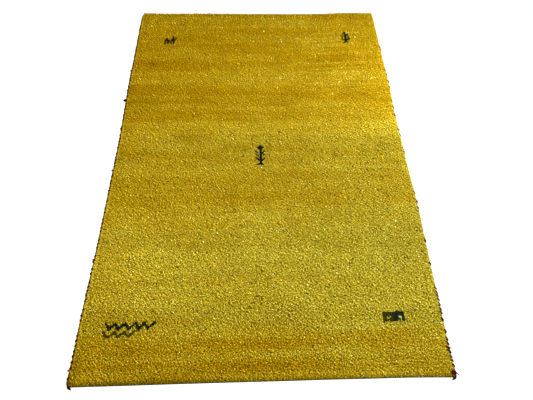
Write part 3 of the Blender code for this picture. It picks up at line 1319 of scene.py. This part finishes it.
        lean = (tip - root)[..., :2] / (tip - root)[..., 2:]
        comb = math.atan2(self.lean_y, self.lean_x)
        turn = comb + self.ring_turn * chance.normal(size=shape)[..., None]
        turn = turn + np.arange(4) * math.pi / 2
        radius = self.ring_radius * self.pitch * (1 + 0.12 * jitter[5])
        beside_cord = outline.width / 2 - np.abs(grid_x) < self.edge_width
        radius = radius * np.where(beside_cord, self.edge_ring, 1.0)
        radius = radius * np.where(marked, spread, 1.0)
        radius = radius[..., None] * np.array([self.ring_length, self.ring_width] * 2)
        arm = np.stack([np.cos(turn), np.sin(turn)], axis=-1)
        along = np.einsum("...kc,...c->...k", arm, lean)
        arm = arm * radius[..., None]
        tilt = self.ring_tilt * along * radius
        wobble = self.ring_wobble * chance.normal(size=(*shape, 4))
        ring = centre[..., None, :] + np.concatenate([arm, (tilt + wobble)[..., None]], axis=-1)

        def chosen(values: np.ndarray, *size: int) -> np.ndarray:
            """The values of the chosen columns' knots, in one row."""
            return values[columns].reshape(-1, *size)

        # Painted shade down in the pile: each root darkest and its ring a little dark; a painted
        # highlight makes its tip a little lighter.
        dye = chosen(colour, 3)
        return spindles(
            chosen(root, 3), chosen(ring, 4, 3), chosen(tip, 3),
            self.root_painted_shade * dye, self.ring_painted_shade * dye, self.tip_painted_highlight * dye,
        )

    def build(self) -> list[bpy.types.Object]:
        """Builds the strips from left to right.

        Returns:
            The strips.
        """
        material = self.finish.material()
        count = self.columns().shape[1]
        bounds = np.linspace(0, count, self.strips + 1).round().astype(int)
        strips = []
        for number, (first, end) in enumerate(zip(bounds, bounds[1:]), start=1):
            strip = self.surface(slice(first, end)).make_object(
                f"pile_strip_{number}", material, PILE_SLOT
            )
            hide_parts("pile_field")
            strips.append(strip)
        return strips


def wrap_show(side: int, from_start: np.ndarray) -> np.ndarray:
    """How far each wrap of a side's cord stands out of the pile, from 0 to 1.

    Wraps on the left all show. On the right the pile lies over most of them.

    Args:
        side: -1 for the left cord, 1 for the right one.
        from_start: Places along the cord from its near end.

    Returns:
        The share for the wrap at each place.
    """
    count = 160
    share = np.random.default_rng(61 + side).uniform(0, 1, count)
    number = np.clip((from_start / OvercastSide.wrap_pitch).astype(int), 0, count - 1)
    if side < 0:
        return np.where(share < 0.25, 0.3, 0.6 + 0.4 * share)[number]
    start = -RugOutline.length / 2 - OvercastSide.ear_length
    stitched = np.array([stitch.along for stitch in RIGHT_STITCHES])
    seen = ((stitched - start) / OvercastSide.wrap_pitch).astype(int)
    share = 0.3 * share
    share[seen] = 1.0
    return share[number]


@dataclass
class WovenGround:
    """The cloth that carries the knots: a thin closed sheet, with the motifs' knot backs."""

    outline: RugOutline
    dyeing: FieldDyeing
    # The share of the field's colours that the sheet keeps, as painted shade.
    shade: float = 0.55
    side_inset: float = 0.0072
    end_inset: float = 0.0046
    steps_x: int = 60
    steps_y: int = 90
    lift: float = 0.0003
    back_radius: float = 0.0024
    back_height: float = 0.6

    def sheet_surface(self) -> Surface:
        """Two grids, one at the floor and one at the knots' roots, joined around their rim.

        In the bake's square the underside lies left, the upper side lower right, and the rim
        in a strip above that.

        Returns:
            The closed sheet.
        """
        outline = self.outline
        across = np.linspace(-1, 1, self.steps_x + 1) * (outline.width / 2 - self.side_inset)
        along = np.linspace(-1, 1, self.steps_y + 1) * (outline.length / 2 - self.end_inset)
        grid_x, grid_y = np.meshgrid(across, along, indexing="ij")
        x, y = outline.make_uneven(*outline.round_corners(grid_x, grid_y, self.side_inset))
        # Painted shade: the sheet is darker than the pile where it shows between the tufts, and the
        # same on its underside.
        colour = self.shade * self.dyeing.field(grid_x, grid_y)
        under = np.stack([x, y, np.full(x.shape, self.lift)], axis=-1).reshape(-1, 3)
        over = under + (0.0, 0.0, outline.ground_thickness - self.lift)
        total = len(under)
        number = np.arange(total).reshape(x.shape)
        a, b = number[:-1, :-1].ravel(), number[1:, :-1].ravel()
        c, d = number[1:, 1:].ravel(), number[:-1, 1:].ravel()
        top = np.stack([a, b, c, a, c, d], axis=1).reshape(-1, 3)
        rim = np.concatenate(
            [number[:, 0], number[-1, 1:], number[-2::-1, -1], number[0, -2:0:-1]]
        )
        rim_after = np.roll(rim, -1)
        wall = np.stack(
            [rim, rim_after, rim_after + total, rim, rim_after + total, rim + total], axis=1
        ).reshape(-1, 3)

        flat = np.stack([x, y], axis=-1).reshape(-1, 2)
        unit = (flat - flat.min(axis=0)) / np.ptp(flat, axis=0)
        under_places = unit[top[:, ::-1]] * (0.66, 0.99)
        over_places = unit[top] * (0.31, 0.46) + (0.68, 0.0)
        count = len(rim)
        step = 0.31 / count
        left = 0.68 + step * np.arange(count)
        low, high = np.full(count, 0.5), np.full(count, 0.52)
        corners = [
            (left, low), (left + step, low), (left + step, high),
            (left, low), (left + step, high), (left, high),
        ]
        wall_places = np.stack([np.stack(one, axis=1) for one in corners], axis=1)
        return Surface(
            np.concatenate([under, over]),
            np.concatenate([colour.reshape(-1, 3)] * 2),
            np.concatenate([top[:, ::-1], top + total, wall]),
            np.concatenate([under_places, over_places, wall_places.reshape(-1, 3, 2)]),
        )

    def back_surface(self, pile: KnottedPile) -> Surface:
        """The backs of the motifs' knots: low spindles in the sheet that show under it.

        Args:
            pile: The pile, whose columns and rows the knots lie on.

        Returns:
            The knot backs.
        """
        outline = self.outline
        line_x = pile.columns()[0]
        line_y = pile.rows()[0]
        colour = np.zeros((len(line_x), len(line_y), 3))
        marked = self.dyeing.knot_motifs(line_x, line_y, colour) > 0
        column, row = np.nonzero(marked)
        x, y = outline.make_uneven(line_x[column], line_y[row])
        turn = math.pi / 4 + np.arange(4) * math.pi / 2
        ring = np.stack([x, y, np.full(x.shape, self.lift)], axis=1)[:, None].repeat(4, axis=1)
        ring[..., 0] += self.back_radius * math.sqrt(2) * np.cos(turn) * 0.92
        ring[..., 1] += self.back_radius * math.sqrt(2) * np.sin(turn) * 0.92
        low = np.stack([x, y, np.zeros(x.shape)], axis=1)
        high = low + (0.0, 0.0, self.back_height * outline.ground_thickness)
        dyed = colour[marked]
        return spindles(low, ring, high, dyed, 0.9 * dyed, dyed)

    def build(self, pile: KnottedPile) -> list[bpy.types.Object]:
        """Builds the sheet, then the motifs' knot backs.

        Args:
            pile: The pile that the sheet carries.

        Returns:
            The sheet and the knot backs.
        """
        woven = KnotBackFinish("knot_backs_and_wefts", pile.pitch).material()
        sheet = self.sheet_surface().make_object("woven_ground", woven, PILE_SLOT)
        backs = self.back_surface(pile).make_object("motif_knot_backs", woven, PILE_SLOT)
        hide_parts("pile_field")
        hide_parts("pile_field")
        return [sheet, backs]


@dataclass
class TurnedEnd:
    """The flat-woven end, turned under into a narrow ribbed roll below the pile."""

    outline: RugOutline
    end: int
    finish: WoolFinish
    inset: float = 0.0034
    half_width: float = 0.0030
    half_height: float = 0.0036
    rib_pitch: float = 0.0023
    rib_height: float = 0.10
    side_gap: float = 0.0085
    mottle: float = 0.18
    sides: int = 6

    def surface(self) -> Surface:
        """An oval carried along the end, fatter at every other ring for a rib.

        Returns:
            The closed roll.
        """
        outline = self.outline
        reach = outline.width / 2 - self.side_gap
        count = round(2 * reach / self.rib_pitch) * 2
        x = np.linspace(-reach, reach, count)
        rib = 1 + self.rib_height * np.cos(math.pi * np.arange(count))
        rib[[0, -1]] = 0.5
        turn = 2 * math.pi * np.arange(self.sides) / self.sides
        out = self.half_width * rib[:, None] * np.cos(turn)
        y = self.end * (outline.length / 2 - self.inset + out)
        z = self.half_height * (1.02 + rib[:, None] * np.sin(turn) / math.sin(math.pi / 3) * 0.92)
        uneven_x, uneven_y = outline.make_uneven(np.repeat(x[:, None], self.sides, axis=1), y)
        rings = np.stack([uneven_x, uneven_y, z], axis=-1)
        chance = np.random.default_rng(83 + self.end)
        tone = np.exp(self.mottle * chance.normal(size=(count, 1, 1)))
        # Painted shade in the troughs between the ribs and at the roll's closed ends.
        tone = tone * (0.75 + 0.25 * rib[:, None, None])
        # The end web's dark olive, partly painted shade below the pile's edge.
        colours = np.array(Dye.WARP_AND_SHADE.value) * tone * np.ones((1, self.sides, 1))
        return closed_tube(rings, colours)

    def build(self) -> bpy.types.Object:
        """Builds the roll as one piece.

        Returns:
            The roll.
        """
        name = "turned_end_near" if self.end < 0 else "turned_end_far"
        piece = self.surface().make_object(name, self.finish.material(), PILE_SLOT)
        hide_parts("pile_field")
        return piece


@dataclass
class OvercastSide:
    """One long side: a cord wrapped in dark wool, its loose ends and its ear at the corner."""

    outline: RugOutline
    side: int
    finish: WoolFinish
    inset: float = 0.0036
    fat: float = 0.0044
    thin: float = 0.0030
    wrap_pitch: float = 0.0127
    turns_in_wrap: int = 4
    rings_in_wrap: int = 16
    least_wrap: float = 0.15
    wrap_sharpness: float = 1.5
    wrap_lean: float = 0.4
    ridge_height: float = 0.085
    end_round: float = 0.004
    end_least: float = 0.12
    corner_share: float = 0.3
    fading: float = 0.7
    baring: float = 3.0
    gold: float = 0.28
    knob_length: float = 0.008
    ear_length: float = 0.007
    ear_swell: float = 0.046
    ear_half_width: float = 0.0056
    ear_half_height: float = 0.0046
    turn_in: float = 0.0125
    turn_length: float = 0.032
    sides: int = 8
    stitch_half: float = 0.0027
    stitch_reach: float = 0.0050
    stitch_top: float = 0.0176
    stitch_pitch: float = 0.0160
    stitch_inset: float = 0.0058
    stitch_overhang: float = 0.0007
    stitch_kept: float = 0.88
    stitch_margin: float = 0.025
    stitch_rings: int = 9
    place_scatter: float = 0.0016
    inset_scatter: float = 0.0010
    edge_drop: float = 0.0080
    edge_curve: float = 0.0030
    dip: float = 0.0030
    strand_tip: float = 0.0008
    strand_rings: int = 15
    strand_turns: float = 2.5
    strand_wave: float = 0.0009
    ply_apart: float = 0.55
    ply_size: float = 0.62
    tuft_clearance: float = 0.0006
    cord_share: float = 0.6
    strand_share: float = 0.34
    tuft_share: float = 0.06

    def word(self) -> str:
        """The side's name."""
        return "left" if self.side < 0 else "right"

    def route(self) -> tuple[np.ndarray, np.ndarray]:
        """Places along the middle of the cord: in from the near corner on a parabola, straight
        up the side, then round part of the far corner's ellipse.

        Returns:
            The places across and along the true rectangle, and their distance from the start.
        """
        outline = self.outline
        corner = next(one for one in CORNERS if one.side == self.side and one.end > 0)
        turn = np.linspace(0, math.pi / 2 * self.corner_share, 20)
        arc_x = outline.width / 2 - corner.round_x + (corner.round_x - self.inset) * np.cos(turn)
        arc_y = outline.length / 2 - corner.round_y + (corner.round_y - self.inset) * np.sin(turn)
        x = self.side * np.concatenate([[outline.width / 2 - self.inset], arc_x])
        y = np.concatenate([[-outline.length / 2 - self.ear_length], arc_y])
        reached = np.concatenate([[0.0], np.cumsum(np.hypot(np.diff(x), np.diff(y)))])
        places = np.arange(0.0, reached[-1], self.wrap_pitch / self.rings_in_wrap)
        turned = self.turn_in * np.clip(1 - places / self.turn_length, 0, 1) ** 2
        line_x = np.interp(places, reached, x) - self.side * turned
        return np.stack([line_x, np.interp(places, reached, y)], axis=1), places

    def rounded(self, left: np.ndarray) -> np.ndarray:
        """The cord's width for each distance to its end, which closes as a quarter ellipse."""
        share = np.minimum(left, self.end_round) / self.end_round
        return np.sqrt(np.clip(1 - (1 - share) ** 2, self.end_least, 1))

    def cord(self) -> Surface:
        """A round profile carried along the route. It is fat at each wrap and thin between,
        and each turn of the yarn raises a ridge that climbs round the cord as a helix.

        Returns:
            The closed cord.
        """
        route, places = self.route()
        shown = wrap_show(self.side, places)
        wave = 0.5 - 0.5 * np.cos(2 * math.pi * places / self.wrap_pitch)
        swell = (self.least_wrap + (1 - self.least_wrap) * shown) * wave**self.wrap_sharpness
        half = self.thin + (self.fat - self.thin) * swell
        ear = np.clip(1 - places / self.ear_swell, 0, 1)
        past_edge = places < self.ear_length
        half_width = half + (self.ear_half_width - self.thin) * ear
        half_height = np.maximum(half, self.ear_half_height * ear)
        half_height = np.where(past_edge, self.ear_half_height, half_height)
        closing = self.rounded(places) * self.rounded(places[-1] - places)
        half_width, half_height = half_width * closing, half_height * closing
        turn = 2 * math.pi * np.arange(self.sides) / self.sides
        yarn = 2 * math.pi * self.turns_in_wrap * places / self.wrap_pitch
        ridge = 1 + self.ridge_height * np.cos(yarn[:, None] - turn)
        x, y = self.outline.make_uneven(route[:, 0], route[:, 1])
        outwards = self.side * np.maximum(half_width - self.thin, 0.0) * self.wrap_lean
        ring_x = (x + outwards)[:, None] + self.side * half_width[:, None] * np.cos(turn) * ridge
        ring_z = half_height[:, None] * (1.04 + np.sin(turn) * ridge)
        ring_y = np.repeat(y[:, None], self.sides, axis=1)
        rings = np.stack([ring_x, ring_y, np.maximum(ring_z, CLEARANCE)], axis=-1)
        return closed_tube(rings, self.cord_colours(places, wave * shown, ridge))

    def cord_colours(self, places: np.ndarray, bared: np.ndarray, ridge: np.ndarray) -> np.ndarray:
        """Maroon at each wrap, some of them faded, and the field's gold wool showing between, with
        painted shade in the grooves of the yarn.

        Args:
            places: Distances along the cord.
            bared: 1 in the middle of a wrap that shows and 0 between wraps.
            ridge: The yarn's ridges, as a factor on the cord's radius, by ring and by place round it.

        Returns:
            The colour of each point of the cord.
        """
        chance = np.random.default_rng(71 + self.side)
        wraps = (places / self.wrap_pitch).astype(int)
        faded = chance.uniform(0, self.fading, wraps.max() + 1)[wraps][:, None]
        dark = np.array(Dye.MAROON.value) * (1 - faded) + np.array(Dye.FADED_MAROON.value) * faded
        between = np.clip(1.5 - self.baring * bared, 0, 1)
        between = (between * np.clip(3 * places / self.ear_swell - 1, 0, 1))[:, None]
        gold = self.gold * np.array(Dye.OCHRE.value)
        colour = dark * (1 - between) + gold * between
        if self.side > 0:
            knob = np.clip(1.8 - places / self.knob_length, 0, 1)[:, None]
            colour = colour * (1 - knob) + np.array(Dye.BROWN.value) * knob
        # Painted shade in the grooves between the yarn's ridges.
        groove_painted_shade = 0.6 + 0.4 * (ridge - ridge.min()) / np.ptp(ridge)
        return colour[:, None, :] * groove_painted_shade[..., None]

    def strands(self) -> list[Surface]:
        """The yarn ends: two plies wound round each other, drooping from the cord to the floor.

        Returns:
            One closed tapering tube for each ply.
        """
        made = []
        share = np.linspace(0, 1, self.strand_rings)
        around = 2 * math.pi * np.arange(6) / 6
        for number, end in enumerate(one for one in YARN_ENDS if one.side == self.side):
            x, y = self.outline.make_uneven(
                np.array([self.side * (self.outline.width / 2 - self.inset)]), np.array([end.along])
            )
            start_x = x[0] + self.side * 0.7 * self.fat
            half = end.half + (self.strand_tip - end.half) * share
            line_x = start_x + self.side * (end.out + 0.001) * share
            line_y = y[0] + end.drift * share * (0.6 + 0.4 * share)
            line_y = line_y + self.strand_wave * np.sin(math.pi * 2 * share + number)
            line_z = 1.5 * half + (self.fat - end.half) * (1 - share * share)
            for ply in range(2):
                wind = 2 * math.pi * self.strand_turns * share + math.pi * ply
                apart = self.ply_apart * half
                ply_y = line_y + apart * np.cos(wind)
                middle = np.stack([line_x, ply_y, line_z + apart * np.sin(wind)], axis=1)
                ring = np.stack([0 * around, np.cos(around), np.sin(around)], axis=1)
                rings = middle[:, None] + self.ply_size * half[:, None, None] * ring
                rings[..., 0] -= self.side * 0.3 * half[:, None] * np.cos(around)
                rings[..., 2] = np.maximum(rings[..., 2], CLEARANCE)
                tone = 0.9 + 0.5 * share[:, None, None]
                colours = np.array(Dye.MAROON.value) * tone * np.ones((1, 6, 1))
                made.append(closed_tube(rings, colours))
        return made

    def shown_turns(self) -> list[Stitch]:
        """The turns of yarn over the pile: the right side's from its table, and the left side's
        at even steps, each a little off its place and some worn away.

        Returns:
            The stitches of this side.
        """
        if self.side > 0:
            return list(RIGHT_STITCHES)
        chance = np.random.default_rng(91)
        reach = self.outline.length / 2 - self.stitch_margin
        count = round(2 * reach / self.stitch_pitch)
        along = np.linspace(-1, 1, count) * reach
        along = along + self.place_scatter * chance.normal(size=count)
        scatter = chance.normal(size=count).clip(-1.5, 1.5)
        inset = self.stitch_inset + self.inset_scatter * scatter
        strength = np.minimum(1.0, 0.5 + 0.9 * chance.uniform(size=count))
        kept = chance.uniform(size=count) > 1 - self.stitch_kept
        return [Stitch(*row) for row in np.stack([along, inset, strength], axis=1)[kept]]

    def stitches(self) -> list[Surface]:
        """The turns of yarn that show over the pile: each climbs the pile's rounded edge, where
        its height falls off exponentially, and dips into the pile at its inner end.

        Returns:
            One closed tube, thin at both ends, for each stitch of this side.
        """
        share = np.linspace(0, 1, self.stitch_rings)[:, None]
        around = 2 * math.pi * np.arange(6) / 6
        made = []
        for stitch in self.shown_turns():
            outer = max(stitch.inset - self.stitch_reach, -self.stitch_overhang)
            inset = outer + (stitch.inset + self.stitch_reach - outer) * share
            along = stitch.along + self.stitch_reach * (2 * share - 1)
            x, y = self.outline.make_uneven(self.side * (self.outline.width / 2 - inset), along)
            z = self.stitch_top - self.edge_drop * np.exp(-inset / self.edge_curve)
            z = z - self.dip * share**6
            half = self.stitch_half * stitch.strength**0.4 * (1 - 0.6 * (2 * share - 1) ** 4)
            half = half * (1 + 0.12 * np.cos(2 * around - 9 * share))
            ring_x = x + self.side * 0.6 * half * np.cos(around)
            ring_y = y + 0.8 * half * np.cos(around)
            rings = np.stack([ring_x, ring_y, z + half * np.sin(around)], axis=-1)
            worn = 1 - stitch.strength
            dye = (1 - worn) * np.array(Dye.MAROON.value) + worn * np.array(Dye.FADED_MAROON.value)
            made.append(closed_tube(rings, dye * np.ones((self.stitch_rings, 6, 1))))
        return made

    def tuft(self, knot: Tuft) -> Surface:
        """A knotted tuft of loose wool on the cord: thin spindles out from its middle.

        Args:
            knot: The tuft's place and size.

        Returns:
            The tuft.
        """
        chance = np.random.default_rng(round(1000 + 1000 * knot.along))
        count = knot.strands
        x, y = self.outline.make_uneven(
            np.array([self.side * (self.outline.width / 2 - knot.inset)]), np.array([knot.along])
        )
        turn = chance.uniform(0, 2 * math.pi, count)
        lift = chance.uniform(-0.2, 0.7, count)
        way = np.stack([np.cos(turn), np.sin(turn), lift], axis=1)
        way /= np.linalg.norm(way, axis=1, keepdims=True)
        along = chance.uniform(-0.3, 0.3, count) * knot.reach
        base = np.stack([np.full(count, x[0]), y[0] + along, np.full(count, knot.height)], axis=1)
        reach = knot.reach * chance.uniform(0.5, 1.0, count)[:, None]
        tip = base + way * reach
        tip[:, 2] = np.maximum(tip[:, 2], self.tuft_clearance)
        side_way = np.cross(way, (0.3, 0.2, 0.9))
        side_way /= np.linalg.norm(side_way, axis=1, keepdims=True)
        other_way = np.cross(way, side_way)
        middle = base + way * reach * 0.55
        half = 0.22 * knot.reach
        ring = np.stack(
            [middle + half * side_way, middle + half * other_way,
             middle - half * side_way, middle - half * other_way],
            axis=1,
        )
        ring[..., 2] = np.maximum(ring[..., 2], self.tuft_clearance / 2)
        dye = Dye.MAROON if self.side < 0 else Dye.RED
        dye = np.array(dye.value) * np.exp(0.3 * chance.normal(size=(count, 1)))
        # Painted shade at the tuft's middle, where its strands start, and a painted highlight at their
        # tips.
        return spindles(base, ring, tip, 0.7 * dye, dye, 1.2 * dye)

    def build(self) -> bpy.types.Object:
        """Builds the cord, its yarn ends, its stitches and its tufts as one piece.

        Returns:
            The finished side.
        """
        strands = self.strands() + self.stitches()
        tufts = [self.tuft(knot) for knot in TUFTS if knot.side == self.side]
        shares = [self.cord_share]
        shares += [self.strand_share / len(strands)] * len(strands)
        shares += [self.tuft_share / len(tufts)] * len(tufts)
        piece = Surface.joined([self.cord(), *strands, *tufts], shares).make_object(
            f"overcasting_{self.word()}", self.finish.material(), CORD_SLOT
        )
        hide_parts(f"selvedge_{self.word()}")
        return piece


@dataclass(frozen=True)
class Studio:
    """A plain white floor, soft lamps, an even sky, and the camera."""

    focal_pixels: float = 438.9
    photo_width: int = 533
    sensor: float = 36.0
    camera_place: tuple[float, float, float] = (-0.0163, -1.1348, 1.4485)
    yaw: float = 2.33
    pitch: float = 58.239
    roll: float = -1.375
    floor_half: float = 6.0
    floor_drop: float = 0.0002
    floor_white: float = 0.9
    floor_roughness: float = 0.8
    floor_glow: float = 0.5
    sky: float = 0.30

    def camera(self) -> None:
        """Sets the camera: it looks along the yaw and pitch, and is then rolled about its view."""
        yaw, pitch, roll = (math.radians(angle) for angle in (self.yaw, self.pitch, self.roll))
        forward = np.array(
            [math.sin(yaw) * math.cos(pitch), math.cos(yaw) * math.cos(pitch), -math.sin(pitch)]
        )
        level = np.array([math.cos(yaw), -math.sin(yaw), 0.0])
        down = np.cross(forward, level)
        across = math.cos(roll) * level + math.sin(roll) * down
        below = -math.sin(roll) * level + math.cos(roll) * down
        data = bpy.data.cameras.new("camera")
        data.sensor_fit = "HORIZONTAL"
        data.sensor_width = self.sensor
        data.lens = self.focal_pixels / self.photo_width * self.sensor
        camera = bpy.data.objects.new("camera", data)
        turned = np.eye(4)
        turned[:3, 0], turned[:3, 1], turned[:3, 2] = across, -below, -forward
        turned[:3, 3] = self.camera_place
        camera.matrix_world = Matrix(turned.tolist())
        bpy.context.scene.collection.objects.link(camera)
        bpy.context.scene.camera = camera

    def lamp(self, light: Light) -> None:
        """Hangs one square soft lamp, turned to what it faces.

        Args:
            light: The lamp's place, target, size and power.
        """
        data = bpy.data.lights.new(light.name, "AREA")
        data.shape = "SQUARE"
        data.size = light.size
        data.energy = light.power
        lamp = bpy.data.objects.new(light.name, data)
        back = np.array(light.place) - np.array(light.target)
        back = back / np.linalg.norm(back)
        across = np.cross((0.0, 0.0, 1.0), back)
        across = across / np.linalg.norm(across)
        turned = np.eye(4)
        turned[:3, 0], turned[:3, 1], turned[:3, 2] = across, np.cross(back, across), back
        turned[:3, 3] = light.place
        lamp.matrix_world = Matrix(turned.tolist())
        bpy.context.scene.collection.objects.link(lamp)

    def floor(self) -> None:
        """Lays a white floor just under the rug, with a faint glow that keeps it white."""
        half, low, white = self.floor_half, -self.floor_drop, self.floor_white
        mesh = bpy.data.meshes.new("floor")
        corners = [(-half, -half, low), (half, -half, low), (half, half, low), (-half, half, low)]
        mesh.from_pydata(corners, [], [(0, 1, 2, 3)])
        material = bpy.data.materials.new("white_floor")
        material.use_nodes = True
        shader = material.node_tree.nodes["Principled BSDF"]
        shader.inputs["Base Color"].default_value = (white, white, white, 1.0)
        shader.inputs["Roughness"].default_value = self.floor_roughness
        shader.inputs["Emission Color"].default_value = (1.0, 1.0, 1.0, 1.0)
        shader.inputs["Emission Strength"].default_value = self.floor_glow
        mesh.materials.append(material)
        floor = bpy.data.objects.new("floor", mesh)
        bpy.context.scene.collection.objects.link(floor)

    def build(self) -> None:
        """Sets the sky, the view transform, the floor, the lamps and the camera."""
        world = bpy.data.worlds.new("even_sky")
        world.use_nodes = True
        background = world.node_tree.nodes["Background"]
        background.inputs["Color"].default_value = (1.0, 1.0, 1.0, 1.0)
        background.inputs["Strength"].default_value = self.sky
        bpy.context.scene.world = world
        bpy.context.scene.view_settings.view_transform = "Standard"
        self.camera()
        self.floor()
        for light in LIGHTS:
            self.lamp(light)


def main() -> None:
    logging.basicConfig(level=logging.INFO, format="%(message)s")
    Studio().build()
    outline = RugOutline()
    dyeing = FieldDyeing()
    pile_wool = WoolFinish("golden_pile_wool", 0.0070, 0.0022, 0.34, 0.0006)
    end_wool = WoolFinish("flat_woven_end", 0.0009, 0.0009, 0.20, 0.0004, sheen=0.05)
    cord_wool = WoolFinish(
        "maroon_overcasting_wool", 0.0008, 0.0008, 0.25, 0.0004, sheen=0.05, sheen_tint=(0.9, 0.4, 0.35)
    )
    pile = KnottedPile(outline, dyeing, pile_wool)
    strips = pile.build()
    sheet, backs = WovenGround(outline, dyeing).build(pile)
    ends = [TurnedEnd(outline, end, end_wool).build() for end in (-1, 1)]
    sides = [
        OvercastSide(
            outline, -1, cord_wool, fat=0.0040, thin=0.0034, corner_share=0.62, fading=0.3,
            baring=0.8, gold=0.40, stitch_half=0.0033, stitch_reach=0.0034, stitch_top=0.0152,
        ).build(),
        OvercastSide(outline, 1, cord_wool, turn_in=0.0096, turn_length=0.018).build(),
    ]
    going = [*strips, backs, *ends, *sides]
    for piece in [sheet, *going]:
        logging.info("%s: %d triangles", piece.name, len(piece.data.polygons))
    total = sum(len(piece.data.polygons) for piece in [sheet, *going])
    logging.info("all pieces: %d triangles", total)


if __name__ == "__main__":
    main()
